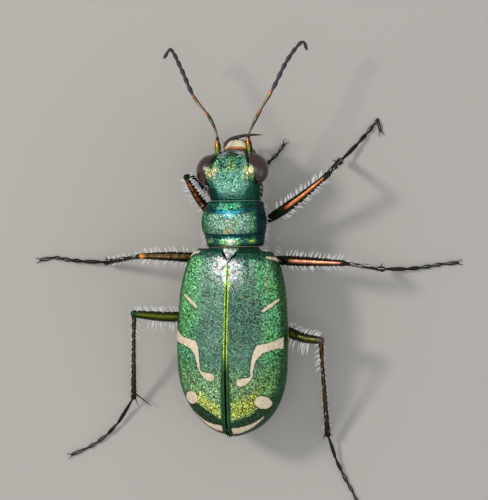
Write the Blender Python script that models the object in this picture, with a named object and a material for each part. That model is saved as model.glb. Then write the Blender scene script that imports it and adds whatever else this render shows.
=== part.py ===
"""Tiger beetle, a life-size still model standing on its six feet.

The head points to -Y, the beetle's left side is +X and the feet rest on z = 0.
Sizes are in millimetres and become metres where a mesh is made. The body is modelled
along Y with z = 0 on the floor and y = 0 where the wing cases begin, and the whole
model is centred over the floor at the end.
"""

import math

import bmesh
import bpy
from mathutils import Matrix, Vector

MM = 0.001
GAP = 0.2                   # clear gap between two pieces that meet

# Wing cases (elytra)
ELYTRA_LENGTH = 8.60
ELYTRA_HALF_WIDTH = 2.58
ELYTRA_WIDEST_Y = 3.9
ELYTRA_TOP_Z = 4.74
ELYTRA_APEX_DROP = 0.98     # how far the suture falls from its highest place to the apex
ELYTRA_EDGE_Z = 3.56        # side margin at the shoulders
ELYTRA_EDGE_FALL = 0.085    # fall of the side margin for each mm along the body
ELYTRA_EDGE_TUCK = 0.28     # how much lower than that it runs round the rear
ELYTRA_CROWN = 2.5          # squareness of the dome in front, and how much rounder it is behind
ELYTRA_CROWN_FALL = 0.4
ELYTRA_THICKNESS = 0.5
SUTURE_HALF_GAP = 0.08

# Scutellum, the small triangle between the wing cases
SCUTELLUM_HALF_WIDTH = 0.36
SCUTELLUM_LENGTH = 0.42

# Trunk under the wing cases
THORAX_END_Y = 3.3
ABDOMEN_END_Y = 8.2
BELLY_Z = 2.02
BELLY_RISE = 0.22           # how far the belly climbs towards the tip
ABDOMEN_SEGMENTS = 5

# Pronotum
PRONOTUM_FRONT_Y = -2.36
PRONOTUM_REAR_Y = -0.26
PRONOTUM_BOTTOM_Z = 2.4

# Head
HEAD_REAR_Y = -2.56
HEAD_FRONT_Y = -4.78
EYE_CENTRE = Vector((1.07, -3.85, 3.51))
EYE_RADII = Vector((0.65, 0.74, 0.61))
EYE_INNER = 0.2             # flattening of the half of the eye against the head
EYE_YAW = math.radians(17)  # turn of the eye's front towards the middle
LABRUM_HALF_WIDTH = 0.56
LABRUM_REAR_Y = -4.76
LABRUM_FRONT_Y = -5.26

# Turn of the two halves of the body about the waist, seen from above
WAIST = Vector((0.0, -0.1, 0.0))
HIND_YAW = math.radians(-1.8)
FORE_YAW = math.radians(1.0)
HEAD_YAW = math.radians(1.2)    # further turn of the head, about a point between the eyes

# Limbs
LIMB_RADIUS = 0.25
FEMUR_ROOT_RADIUS = 0.27
TIP_RADIUS = 0.11
TARSUS_RADIUS = 0.22
TARSUS_Z = 0.2
SEGMENT_ENDS = (0.40, 0.63, 0.83, 1.0)   # ends of tarsal segments 1 to 4 along their curve
CLAW_LENGTH = 0.42
CLAW_RADIUS = 0.1
SPUR_RADIUS = 0.1

# Hip joints, left side, in the frame of the part of the body that carries them
COXAE = {
    "fore": (Vector((0.72, -1.28, 2.3)), Vector((0.42, 0.5, 0.52))),
    "mid": (Vector((0.85, 0.4, 2.1)), Vector((0.5, 0.5, 0.42))),
    "hind": (Vector((0.8, 2.78, 2.1)), Vector((0.8, 0.44, 0.4))),
}

# Pose of each leg, in mm over the floor: hip end of the femur, how far its middle bows out,
# knee, ankle, the point that the curve of the tarsus leans to, the end of its fourth
# segment, and its claws
LEGS = {
    "fore_right": dict(
        root=(-0.98, -1.32, 2.05), bow=(0.0, 0.14, 0.12), knee=(-4.42, -3.56, 3.40),
        ankle=(-4.46, -4.26, 0.62), lean=(-5.24, -5.30), fourth=(-6.16, -6.24),
        claw=(-6.28, -5.68), spur=0.45),
    "fore_left": dict(
        root=(0.98, -1.32, 2.05), bow=(0.16, 0.0, -0.1), knee=(2.16, -3.50, 4.10),
        shin=(2.08, -3.56, 3.44), ankle=(0.86, -2.43, 0.62), lean=(-0.20, -3.60),
        fourth=(-1.33, -4.61), claw=(-1.64, -5.08), spur=0.4),
    "mid_right": dict(
        root=(-1.15, 0.35, 2.05), bow=(0.0, 0.0, 0.12), knee=(-5.26, 0.52, 3.60),
        ankle=(-6.81, 0.80, 0.62), lean=(-7.80, 0.80), fourth=(-9.20, 0.57),
        claw=(-9.98, 0.50), spur=0.45),
    "mid_left": dict(
        root=(1.15, 0.35, 2.05), bow=(0.0, -0.05, 0.12), knee=(4.43, 0.19, 3.50),
        ankle=(6.87, 0.48, 0.62), lean=(8.30, 0.50), fourth=(9.50, 0.26),
        claw=(10.2, 0.38), spur=0.45),
    "hind_right": dict(
        root=(-1.20, 2.95, 2.05), bow=(0.0, 0.34, -0.02), knee=(-4.07, 4.12, 3.20),
        ankle=(-3.86, 8.58, 0.62), lean=(-4.10, 9.90), fourth=(-5.02, 11.25),
        claw=(-5.42, 12.00), spur=0.8),
    "hind_left": dict(
        root=(1.20, 2.95, 2.05), bow=(0.0, 0.12, 0.0), knee=(4.84, 2.90, 3.30),
        ankle=(5.52, 6.85, 0.62), lean=(6.45, 8.55), fourth=(7.84, 9.24),
        claw=(8.58, 9.55), spur=0.8),
}

# Course of each feeler: base, end of the second segment, points of the third and the end
# of the fourth, then the whip's middle, its highest reach forwards and its tip
ANTENNAE = {
    "right": dict(
        base=[(-0.74, -4.50, 3.35), (-0.70, -5.40, 3.48), (-0.96, -5.98, 3.60), (-1.38, -6.70, 3.72),
              (-1.96, -7.63, 3.84)],
        tip=[(-1.96, -7.63, 3.84), (-2.60, -8.95, 3.66), (-3.12, -9.70, 3.48), (-3.46, -9.50, 3.28)]),
    "left": dict(
        base=[(0.79, -4.50, 3.35), (0.79, -5.30, 3.48), (1.07, -6.18, 3.64), (1.30, -6.56, 3.72),
              (1.87, -7.31, 3.84)],
        tip=[(1.87, -7.31, 3.84), (2.55, -8.70, 3.66), (3.14, -9.42, 3.48), (3.39, -9.07, 3.28)]),
}

# Sickle jaws, left side: course from the root under the lip to the tip that crosses over
JAWS = {
    "left": [(0.42, -4.30, 2.32), (0.56, -4.80, 2.22), (0.55, -5.04, 2.14), (0.34, -5.28, 2.06),
             (-0.12, -5.43, 2.0), (-0.62, -5.47, 1.98), (-1.16, -5.45, 1.98)],
    "right": [(0.34, -4.40, 2.30), (0.39, -4.78, 1.90), (0.38, -5.00, 1.62), (0.20, -5.13, 1.52),
              (-0.18, -5.22, 1.5), (-0.54, -5.22, 1.5), (-0.86, -5.16, 1.5)],
}

COLOURS = {
    "green": ((0.02, 0.16, 0.07), 0.35, 0.9),
    "deep_green": ((0.01, 0.07, 0.05), 0.35, 0.9),
    "copper": ((0.35, 0.12, 0.04), 0.3, 0.9),
    "dark": ((0.02, 0.025, 0.02), 0.35, 0.4),
    "eye": ((0.09, 0.035, 0.03), 0.25, 0.0),
    "cream": ((0.72, 0.55, 0.36), 0.45, 0.0),
}


# ---------------------------------------------------------------- basic tools

def clear_scene():
    for item in list(bpy.data.objects):
        bpy.data.objects.remove(item, do_unlink=True)


def new_collection(name):
    group = bpy.data.collections.new(name)
    bpy.context.scene.collection.children.link(group)
    return group


def material(name):
    found = bpy.data.materials.get(name)
    if found:
        return found
    colour, roughness, metallic = COLOURS[name.rsplit("-", 1)[-1]]
    made = bpy.data.materials.new(name)
    made.use_nodes = True
    shader = made.node_tree.nodes["Principled BSDF"]
    shader.inputs["Base Color"].default_value = (*colour, 1.0)
    shader.inputs["Roughness"].default_value = roughness
    shader.inputs["Metallic"].default_value = metallic
    return made


def add_object(name, mesh, group):
    item = bpy.data.objects.new(name, mesh)
    group.objects.link(item)
    return item


def mesh_from(name, shape):
    bmesh.ops.recalc_face_normals(shape, faces=shape.faces)
    mesh = bpy.data.meshes.new(name)
    shape.to_mesh(mesh)
    shape.free()
    return mesh


def loft(name, rings, group):
    """Closed body through rings of equal point counts, with flat ends."""
    shape = bmesh.new()
    loops = [[shape.verts.new(point * MM) for point in ring] for ring in rings]
    count = len(loops[0])
    for near, far in zip(loops, loops[1:]):
        for k in range(count):
            nxt = (k + 1) % count
            shape.faces.new((near[k], near[nxt], far[nxt], far[k]))
    shape.faces.new(list(reversed(loops[0])))
    shape.faces.new(loops[-1])
    return add_object(name, mesh_from(name, shape), group)


def ellipsoid(name, centre, radii, group, segments=20, rings=12):
    shape = bmesh.new()
    bmesh.ops.create_uvsphere(shape, u_segments=segments, v_segments=rings, radius=MM)
    place = Matrix.Translation(centre * MM) @ Matrix.Diagonal((*radii, 1.0))
    bmesh.ops.transform(shape, matrix=place, verts=shape.verts)
    return add_object(name, mesh_from(name, shape), group)


def cone(name, start, end, radius, tip_radius, group, sides=6):
    """Tapered spine from start to end."""
    start, end = Vector(start), Vector(end)
    shape = bmesh.new()
    bmesh.ops.create_cone(
        shape, cap_ends=True, segments=sides, radius1=radius * MM,
        radius2=tip_radius * MM, depth=(end - start).length * MM)
    turn = (end - start).to_track_quat("Z", "Y").to_matrix().to_4x4()
    place = Matrix.Translation((start + end) * 0.5 * MM) @ turn
    bmesh.ops.transform(shape, matrix=place, verts=shape.verts)
    return add_object(name, mesh_from(name, shape), group)


def tube(name, points, radii, group, resolution=2):
    """Round limb along points, made as a bevelled curve with closed ends."""
    curve = bpy.data.curves.new(name, "CURVE")
    curve.dimensions = "3D"
    curve.bevel_depth = MM
    curve.bevel_resolution = resolution
    curve.use_fill_caps = True
    spline = curve.splines.new("POLY")
    spline.points.add(len(points) - 1)
    for spot, point, radius in zip(spline.points, points, radii):
        spot.co = (*(Vector(point) * MM), 1.0)
        spot.radius = radius
    guide = add_object(name + "_course", curve, group)
    bpy.context.view_layer.update()
    evaluated = guide.evaluated_get(bpy.context.evaluated_depsgraph_get())
    mesh = bpy.data.meshes.new_from_object(evaluated)
    bpy.data.objects.remove(guide, do_unlink=True)
    shape = bmesh.new()
    shape.from_mesh(mesh)
    bmesh.ops.remove_doubles(shape, verts=shape.verts, dist=0.001 * MM)
    return add_object(name, mesh_from(name, shape), group)


def smooth_path(points, steps):
    """Catmull-Rom curve through the points, with this many steps between two of them."""
    points = [Vector(p) for p in points]
    ends = [2 * points[0] - points[1]] + points + [2 * points[-1] - points[-2]]
    path = []
    for a, b, c, d in zip(ends, ends[1:], ends[2:], ends[3:]):
        for k in range(steps):
            t = k / steps
            path.append(0.5 * (2 * b + (c - a) * t + (2 * a - 5 * b + 4 * c - d) * t * t
                               + (3 * b - 3 * c + d - a) * t ** 3))
    return path + [points[-1]]


def bezier(a, b, c, t):
    return a * (1 - t) ** 2 + b * 2 * t * (1 - t) + c * t * t


def keep_largest(shape):
    """Keeps the largest closed surface of a mesh and drops every other one."""
    unseen = set(shape.faces)
    islands = []
    while unseen:
        island, edge = [], [unseen.pop()]
        while edge:
            face = edge.pop()
            island.append(face)
            for rim in face.edges:
                for other in rim.link_faces:
                    if other in unseen:
                        unseen.remove(other)
                        edge.append(other)
        islands.append(island)
    islands.sort(key=lambda found: sum(face.calc_area() for face in found))
    spare = [face for island in islands[:-1] for face in island]
    bmesh.ops.delete(shape, geom=spare, context="FACES")


def boolean(item, pieces, operation, work):
    """Joins the pieces to an item, or cuts them out of it, with one applied Boolean."""
    tools = bpy.data.collections.new("tools")
    work.children.link(tools)
    for piece in pieces:
        work.objects.unlink(piece)
        tools.objects.link(piece)
    step = item.modifiers.new(operation.title(), "BOOLEAN")
    step.operation = operation
    step.operand_type = "COLLECTION"
    step.collection = tools
    bpy.context.view_layer.update()
    evaluated = item.evaluated_get(bpy.context.evaluated_depsgraph_get())
    mesh = bpy.data.meshes.new_from_object(evaluated)
    item.modifiers.clear()
    for piece in list(tools.objects):
        bpy.data.objects.remove(piece, do_unlink=True)
    bpy.data.collections.remove(tools)
    shape = bmesh.new()
    shape.from_mesh(mesh)
    keep_largest(shape)
    bmesh.ops.remove_doubles(shape, verts=shape.verts, dist=0.002 * MM)
    shape.to_mesh(item.data)
    shape.free()
    return item


def cut_below_floor(item):
    """Cuts a foot flat at z = 0, so that it stands on small soles."""
    shape = bmesh.new()
    shape.from_mesh(item.data)
    cut = bmesh.ops.bisect_plane(
        shape, geom=shape.verts[:] + shape.edges[:] + shape.faces[:],
        plane_co=(0, 0, 0), plane_no=(0, 0, -1), clear_outer=True)
    rim = [part for part in cut["geom_cut"] if isinstance(part, bmesh.types.BMEdge)]
    bmesh.ops.holes_fill(shape, edges=rim, sides=0)
    bmesh.ops.recalc_face_normals(shape, faces=shape.faces)
    shape.to_mesh(item.data)
    shape.free()


def finish(item, name, parts, colour, frame=None):
    """Places a finished piece in its part of the body and gives it name and material."""
    if frame is not None:
        item.data.transform(frame)
    for group in list(item.users_collection):
        group.objects.unlink(item)
    parts.objects.link(item)
    item.name = name
    item.data.name = name
    item.data.materials.clear()
    item.data.materials.append(material(f"{name}-{colour}"))
    item.data.shade_smooth()
    item.data.set_sharp_from_angle(angle=math.radians(38))
    return item


# ---------------------------------------------------------------- body sections

def yaw_about(spot, angle):
    spot = spot * MM
    return Matrix.Translation(spot) @ Matrix.Rotation(angle, 4, "Z") @ Matrix.Translation(-spot)


HIND = yaw_about(WAIST, HIND_YAW)
FORE = yaw_about(WAIST, FORE_YAW)
HEAD = FORE @ yaw_about(Vector((0.0, EYE_CENTRE.y, 0.0)), HEAD_YAW)


def smooth_step(value, low, high):
    t = min(1.0, max(0.0, (value - low) / (high - low)))
    return t * t * (3 - 2 * t)


def signed_power(value, power):
    return math.copysign(abs(value) ** power, value)


def section(y, half_width, bottom, side, top, crown=2.3, keel=2.3, count=28, grow=0.0):
    """Closed ring across the body: crown is how square its top is, keel its underside."""
    ring = []
    for k in range(count):
        angle = 2 * math.pi * (k + 0.5) / count
        across, up = math.cos(angle), math.sin(angle)
        power = 2 / (crown if up > 0 else keel)
        rise = (top - side if up > 0 else side - bottom) + grow
        ring.append(Vector((
            (half_width + grow) * signed_power(across, power), y,
            side + rise * signed_power(up, power))))
    return ring


def elytra_half_width(y):
    if y < ELYTRA_WIDEST_Y:
        ahead = (ELYTRA_WIDEST_Y - y) / ELYTRA_WIDEST_Y
        return ELYTRA_HALF_WIDTH * (0.66 + 0.34 * math.sqrt(max(0.0, 1 - ahead ** 2)))
    behind = min(1.0, (y - ELYTRA_WIDEST_Y) / (ELYTRA_LENGTH - ELYTRA_WIDEST_Y))
    return ELYTRA_HALF_WIDTH * (1 - behind ** 3.2) ** 0.6


def elytra_edge_z(y):
    return ELYTRA_EDGE_Z - ELYTRA_EDGE_FALL * y - ELYTRA_EDGE_TUCK * smooth_step(y, 5.0, 8.2)


def elytra_top_z(y):
    high_y = 2.4
    if y < high_y:
        return ELYTRA_TOP_Z - 0.16 * ((high_y - y) / high_y) ** 2
    return ELYTRA_TOP_Z - ELYTRA_APEX_DROP * ((y - high_y) / (ELYTRA_LENGTH - high_y)) ** 2.3


def elytra_crown(y):
    return ELYTRA_CROWN - ELYTRA_CROWN_FALL * smooth_step(y, 5.5, 8.0)


def dome_z(x, half_width, edge, top, crown):
    share = min(1.0, abs(x) / half_width)
    return edge + (top - edge) * (1 - share ** crown) ** (1 / crown)


def inner_size(y):
    """Half width and top of the hollow under the wing cases."""
    wide, edge, top = elytra_half_width(y), elytra_edge_z(y), elytra_top_z(y)
    inside = max(wide - ELYTRA_THICKNESS, 0.45 * wide)
    return inside, max(top - ELYTRA_THICKNESS, edge + 0.45 * (top - edge))


def suture_x(y):
    """Inner margin of a wing case, which leaves room for the scutellum in front."""
    slope = (SCUTELLUM_HALF_WIDTH + 0.12) / SCUTELLUM_LENGTH
    return SUTURE_HALF_GAP + max(0.0, SCUTELLUM_LENGTH + 0.08 - y) * slope


# ---------------------------------------------------------------- nodes of the body

def make_elytron(side, parts, work):
    arc = 11
    stations = [0.0, 0.18, 0.5, 1.1, 1.9, 2.9, 3.9, 4.9, 5.8, 6.6, 7.25, 7.75, 8.12, 8.36, 8.51]
    rings = []
    for y in stations:
        lower = 0.16 if y == 0.0 else 0.0
        wide, edge, top = elytra_half_width(y) - lower, elytra_edge_z(y), elytra_top_z(y) - lower
        inside, ceiling = inner_size(y)
        crown = elytra_crown(y)
        near = min(suture_x(y), 0.5 * wide)
        outer, inner = [], []
        for k in range(arc):
            swing = math.sin(0.5 * math.pi * k / (arc - 1))
            x = near + (wide - near) * swing
            outer.append(Vector((side * x, y, dome_z(x, wide, edge, top, crown))))
            x = near + (inside - near) * swing
            inner.append(Vector((side * x, y, dome_z(x, inside, edge, ceiling, crown))))
        rings.append(outer + inner[::-1])
    item = loft("elytron", rings, work)
    name = "elytron_left" if side > 0 else "elytron_right"
    finish(item, name, parts, "green", HIND)


def trunk_section(y, belly, bulge=0.0):
    """Ring of the trunk: a dome clear of the wing cases over a rounded belly."""
    inside, ceiling = inner_size(y)
    edge = elytra_edge_z(y)
    wide = max(inside - GAP, 0.2)
    return section(
        y, wide + bulge, belly, edge, max(ceiling - GAP, edge + 0.1), crown=elytra_crown(y), keel=2.2)


def coxa(place, side, work, grow=0.0):
    centre, radii = COXAE[place]
    spot = Vector((side * centre.x, centre.y, centre.z))
    swell = Vector((grow, grow, grow))
    return ellipsoid("coxa", spot, radii + swell, work, segments=14, rings=9)


def make_thorax(parts, work):
    neck_y = PRONOTUM_REAR_Y + GAP + 0.02
    front = section(neck_y, 1.15, 2.45, 3.3, 4.0, crown=2.5)
    stations = [0.12, 0.6, 1.3, 2.2, THORAX_END_Y]
    rings = [front] + [trunk_section(y, BELLY_Z) for y in stations]
    trunk = loft("thorax", rings, work)
    pieces = [coxa(place, side, work) for place in ("mid", "hind") for side in (-1, 1)]
    pieces.append(make_scutellum(work))
    boolean(trunk, pieces, "UNION", work)
    finish(trunk, "thorax", parts, "deep_green", HIND)


def make_scutellum(work):
    """Small raised triangle, pointed to the rear, on a foot that reaches the thorax."""
    rings = []
    for y, half in ((-0.04, SCUTELLUM_HALF_WIDTH), (SCUTELLUM_LENGTH * 0.5, 0.2),
                    (SCUTELLUM_LENGTH - 0.03, 0.05)):
        top = elytra_top_z(y) - 0.02
        low = 3.4
        rings.append([Vector((-half, y, low)), Vector((half, y, low)),
                      Vector((half, y, top - 0.08)), Vector((0, y, top)),
                      Vector((-half, y, top - 0.08))])
    return loft("scutellum", rings, work)


def make_abdomen(parts, work):
    start = THORAX_END_Y + GAP
    rings = []
    for k in range(ABDOMEN_SEGMENTS):
        near = start + (ABDOMEN_END_Y - start) * k / ABDOMEN_SEGMENTS
        far = start + (ABDOMEN_END_Y - start) * (k + 1) / ABDOMEN_SEGMENTS
        for y, step in ((near + 0.04, 0.06), (far - 0.04, 0.0)):
            along = (y - start) / (ABDOMEN_END_Y - start)
            rings.append(trunk_section(y, BELLY_Z + BELLY_RISE * along ** 2 + step, -0.5 * step))
    item = loft("abdomen", rings, work)
    finish(item, "abdomen", parts, "deep_green", HIND)


def make_pronotum(parts, work):
    length = PRONOTUM_REAR_Y - PRONOTUM_FRONT_Y
    rings = []
    # share of the length, half width, rise of the underside, widest height, top
    for share, wide, raised, side, top in (
            (0.0, 1.20, 0.22, 2.86, 4.08), (0.04, 1.31, 0.05, 2.89, 4.21), (0.15, 1.38, 0.0, 3.04, 4.29),
            (0.215, 1.42, 0.0, 3.12, 4.24), (0.28, 1.48, 0.0, 3.20, 4.37), (0.42, 1.53, 0.0, 3.28, 4.43),
            (0.56, 1.53, 0.0, 3.30, 4.44), (0.70, 1.46, 0.01, 3.22, 4.38), (0.785, 1.40, 0.02, 3.14, 4.22),
            (0.85, 1.37, 0.04, 3.03, 4.30), (0.93, 1.34, 0.06, 2.93, 4.27), (0.975, 1.30, 0.13, 2.90, 4.22),
            (1.0, 1.20, 0.26, 2.90, 4.12)):
        y = PRONOTUM_FRONT_Y + share * length
        rings.append(section(y, wide, PRONOTUM_BOTTOM_Z + raised, side, top, crown=2.5, keel=2.2))
    item = loft("pronotum", rings, work)
    boolean(item, [coxa("fore", side, work) for side in (-1, 1)], "UNION", work)
    finish(item, "pronotum", parts, "green", FORE)


def head_capsule(work, grow=0.0):
    # place along the head, half width, underside, widest height, top, squareness of the top
    stations = (
        (HEAD_REAR_Y, 1.22, 2.33, 2.86, 4.02, 2.2), (-2.75, 1.27, 2.22, 2.84, 4.06, 2.3),
        (-3.05, 1.27, 2.14, 2.84, 4.06, 2.8), (-3.32, 1.20, 2.12, 2.86, 4.05, 4.2),
        (-3.60, 1.17, 2.12, 2.86, 4.04, 6.4), (-3.84, 1.16, 2.14, 2.86, 4.03, 7.0),
        (-4.10, 1.08, 2.16, 2.85, 3.95, 6.0), (-4.32, 0.98, 2.19, 2.84, 3.81, 4.2),
        (-4.50, 0.91, 2.22, 2.80, 3.63, 3.2), (-4.65, 0.81, 2.26, 2.72, 3.36, 2.7),
        (HEAD_FRONT_Y, 0.62, 2.36, 2.62, 2.98, 2.4))
    rings = []
    for k, (y, wide, low, side, top, crown) in enumerate(stations):
        ahead = {0: grow, len(stations) - 1: -grow}.get(k, 0.0)
        rings.append(section(y + ahead, wide, low, side, top, crown=crown, grow=grow))
    return loft("head", rings, work)


def eye_ball(side, work, grow=0.0):
    """Eye whose half against the head is flattened, turned a little to the front."""
    ball = ellipsoid("eye", Vector((0, 0, 0)), (1, 1, 1), work, 22, 14)
    turn = Matrix.Rotation(-EYE_YAW, 3, "Z")
    for vert in ball.data.vertices:
        spot = vert.co / MM
        depth = EYE_RADII.x * (EYE_INNER if spot.x < 0 else 1.0) + grow
        spot = Vector((spot.x * depth, spot.y * (EYE_RADII.y + grow), spot.z * (EYE_RADII.z + grow)))
        spot = turn @ spot + EYE_CENTRE
        vert.co = Vector((side * spot.x, spot.y, spot.z)) * MM
    if side < 0:
        ball.data.flip_normals()
    return ball


def make_head(parts, work):
    head = head_capsule(work)
    boolean(head, [eye_ball(side, work, GAP) for side in (-1, 1)], "DIFFERENCE", work)
    finish(head, "head", parts, "green", HEAD)
    for side, name in ((1, "eye_left"), (-1, "eye_right")):
        finish(eye_ball(side, work), name, parts, "eye", HEAD)


def rooted_on_head(item, work):
    """Trims the root of a piece to the surface of the head, a gap away."""
    return boolean(item, [head_capsule(work, GAP)], "DIFFERENCE", work)


def make_labrum(parts, work):
    rings = []
    for share, wide in ((0.0, 1.0), (0.4, 0.98), (0.72, 0.86), (0.9, 0.62), (1.0, 0.36)):
        y = LABRUM_REAR_Y + share * (LABRUM_FRONT_Y - LABRUM_REAR_Y)
        low, high = 2.5 - 0.1 * share, 2.94 - 0.26 * share
        rings.append(section(
            y, LABRUM_HALF_WIDTH * wide, low, 0.5 * (low + high), high, crown=3.0, keel=3.0, count=18))
    item = rooted_on_head(loft("labrum", rings, work), work)
    finish(item, "labrum", parts, "cream", HEAD)


def make_mandibles(parts, work):
    """Two sickles that cross in front of the lip, the left one above."""
    for hand, course in JAWS.items():
        side = 1 if hand == "left" else -1
        path = smooth_path([(side * x, y, z) for x, y, z in course], 2)
        last = len(path) - 1
        radii = [0.24 - 0.14 * (k / last) ** 1.4 for k in range(last + 1)]
        item = rooted_on_head(tube("mandible", path, radii, work), work)
        finish(item, f"mandible_{hand}", parts, "dark", HEAD)


def make_palps(parts, work):
    for side, name in ((1, "palps_left"), (-1, "palps_right")):
        course = [(0.60, -3.95, 2.3), (0.78, -4.2, 1.75), (0.68, -4.5, 1.3), (0.44, -4.8, 1.05)]
        path = smooth_path([(side * x, y, z) for x, y, z in course], 3)
        last = len(path) - 1
        radii = [0.25 - 0.08 * (k / last) for k in range(last + 1)]
        item = rooted_on_head(tube("palps", path, radii, work), work)
        finish(item, name, parts, "dark", HEAD)


def shorten(path, start=0.0, end=0.0):
    """Cuts a length off the first and the last step of a path."""
    path = [Vector(p) for p in path]
    path[0] = path[0] + (path[1] - path[0]).normalized() * start
    path[-1] = path[-1] + (path[-2] - path[-1]).normalized() * end
    return path


def make_antennae(parts, work):
    for side, course in ANTENNAE.items():
        path = shorten(smooth_path(course["base"], 3), end=0.5 * GAP)
        radii = [LIMB_RADIUS + 0.02 * math.cos(2.1 * k) for k in range(len(path))]
        item = tube("antenna", path, radii, work)
        item.data.transform(HEAD.inverted())
        rooted_on_head(item, work)
        finish(item, f"antenna_{side}_base", parts, "copper", HEAD)
        path = shorten(smooth_path(course["tip"], 5), start=0.5 * GAP)
        last = len(path) - 1
        radii = [LIMB_RADIUS - (LIMB_RADIUS - TIP_RADIUS) * (k / last) ** 2 for k in range(last + 1)]
        finish(tube("antenna", path, radii, work), f"antenna_{side}_tip", parts, "dark")


# ---------------------------------------------------------------- legs

def make_femur(leg, pose, parts, work):
    place, side = leg.split("_")
    root, knee = Vector(pose["root"]), Vector(pose["knee"])
    bow = Vector(pose["bow"])
    path = [root.lerp(knee, t) + bow * math.sin(math.pi * t) for t in (0, 0.2, 0.4, 0.6, 0.8, 1)]
    radii = [FEMUR_ROOT_RADIUS, 0.3, 0.29, 0.27, LIMB_RADIUS, LIMB_RADIUS]
    item = tube("femur", path, radii, work)
    frame = FORE if place == "fore" else HIND
    cutter = coxa(place, 1 if side == "left" else -1, work, GAP)
    cutter.data.transform(frame)
    boolean(item, [cutter], "DIFFERENCE", work)
    finish(item, f"leg_{leg}_femur", parts, "copper")


def tarsus_path(pose):
    """Points at the ends of the five tarsal segments, with the ankle first."""
    ankle, lean = Vector(pose["ankle"]), Vector((*pose["lean"], TARSUS_Z))
    fourth, claw = Vector((*pose["fourth"], TARSUS_Z)), Vector((*pose["claw"], TARSUS_Z))
    ends = [bezier(ankle, lean, fourth, t) for t in SEGMENT_ENDS]
    return [ankle] + ends + [claw]


def make_tibia(leg, pose, parts, work):
    knee, ankle = Vector(pose["knee"]), Vector(pose["ankle"])
    along = (ankle - knee).normalized()
    top = Vector(pose["shin"]) if "shin" in pose else knee + along * (LIMB_RADIUS + GAP)
    path = [top.lerp(ankle, t) for t in (0, 0.25, 0.5, 0.75, 1)]
    item = tube("tibia", path, [LIMB_RADIUS] * len(path), work)
    onward = (tarsus_path(pose)[1] - ankle).normalized()
    across = along.cross(onward).normalized()
    pieces = []
    for sign in (-1, 1):
        start = ankle - along * 0.1 + across * sign * 0.08
        heading = (onward * 0.55 + along * 0.25 + across * sign * 0.75).normalized()
        end = start + heading * (pose["spur"] + 0.1)
        end.z = max(end.z, 0.12)
        pieces.append(cone("spur", start, end, SPUR_RADIUS, 0.03, work))
    boolean(item, pieces, "UNION", work)
    finish(item, f"leg_{leg}_tibia", parts, "dark")


def make_tarsus(leg, pose, parts, work):
    joints = tarsus_path(pose)
    along = (joints[0] - Vector(pose["knee"])).normalized()
    onward = (joints[1] - joints[0]).normalized()
    bend = math.sqrt(max(0.0, 1 - along.dot(onward) ** 2))
    joints = shorten(joints, start=GAP + LIMB_RADIUS * bend)
    path, radii = [joints[0]], [0.8 * TARSUS_RADIUS]
    for near, far in zip(joints, joints[1:]):
        path += [near.lerp(far, 0.45), near.lerp(far, 0.9), far]
        radii += [0.95 * TARSUS_RADIUS, 1.12 * TARSUS_RADIUS, 0.84 * TARSUS_RADIUS]
    radii[-2:] = [0.9 * TARSUS_RADIUS, 0.7 * TARSUS_RADIUS]
    item = tube("tarsus", path, radii, work)
    ahead = (joints[-1] - joints[-2]).normalized()
    aside = ahead.cross(Vector((0, 0, 1))).normalized()
    pieces = []
    for sign in (-1, 1):
        start = joints[-1] - ahead * 0.12 + aside * sign * 0.05
        end = start + (ahead * 0.85 + aside * sign * 0.5).normalized() * (CLAW_LENGTH + 0.12)
        end.z = 0.08
        pieces.append(cone("claw", start, end, CLAW_RADIUS, 0.03, work))
    boolean(item, pieces, "UNION", work)
    cut_below_floor(item)
    finish(item, f"leg_{leg}_tarsus", parts, "dark")


def centre_over_floor(parts):
    """Moves the model so that the origin is under the middle of its box."""
    corners = [item.matrix_world @ vert.co for item in parts.objects for vert in item.data.vertices]
    low = [min(c[k] for c in corners) for k in range(3)]
    high = [max(c[k] for c in corners) for k in range(3)]
    shift = Vector((-(low[0] + high[0]) / 2, -(low[1] + high[1]) / 2, -low[2]))
    root = bpy.data.objects.new("tiger_beetle_root", None)
    parts.objects.link(root)
    for item in parts.objects:
        if item.type == "MESH":
            item.parent = root
    root.location = shift


def main():
    clear_scene()
    parts = new_collection("tiger_beetle")
    work = new_collection("workshop")
    make_head(parts, work)
    make_labrum(parts, work)
    make_mandibles(parts, work)
    make_palps(parts, work)
    make_antennae(parts, work)
    make_pronotum(parts, work)
    make_thorax(parts, work)
    make_abdomen(parts, work)
    for side in (1, -1):
        make_elytron(side, parts, work)
    for leg, pose in LEGS.items():
        make_femur(leg, pose, parts, work)
        make_tibia(leg, pose, parts, work)
        make_tarsus(leg, pose, parts, work)
    centre_over_floor(parts)
    bpy.context.view_layer.update()


main()
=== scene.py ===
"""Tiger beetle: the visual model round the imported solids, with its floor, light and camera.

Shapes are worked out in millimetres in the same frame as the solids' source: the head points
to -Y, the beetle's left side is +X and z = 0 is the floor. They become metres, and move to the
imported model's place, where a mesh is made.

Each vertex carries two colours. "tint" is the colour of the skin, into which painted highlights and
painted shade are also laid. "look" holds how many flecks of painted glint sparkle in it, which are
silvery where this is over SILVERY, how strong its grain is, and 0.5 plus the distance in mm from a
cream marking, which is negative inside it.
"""

import math

import bmesh
import bpy
import numpy as np
from mathutils import Matrix, Vector


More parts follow.
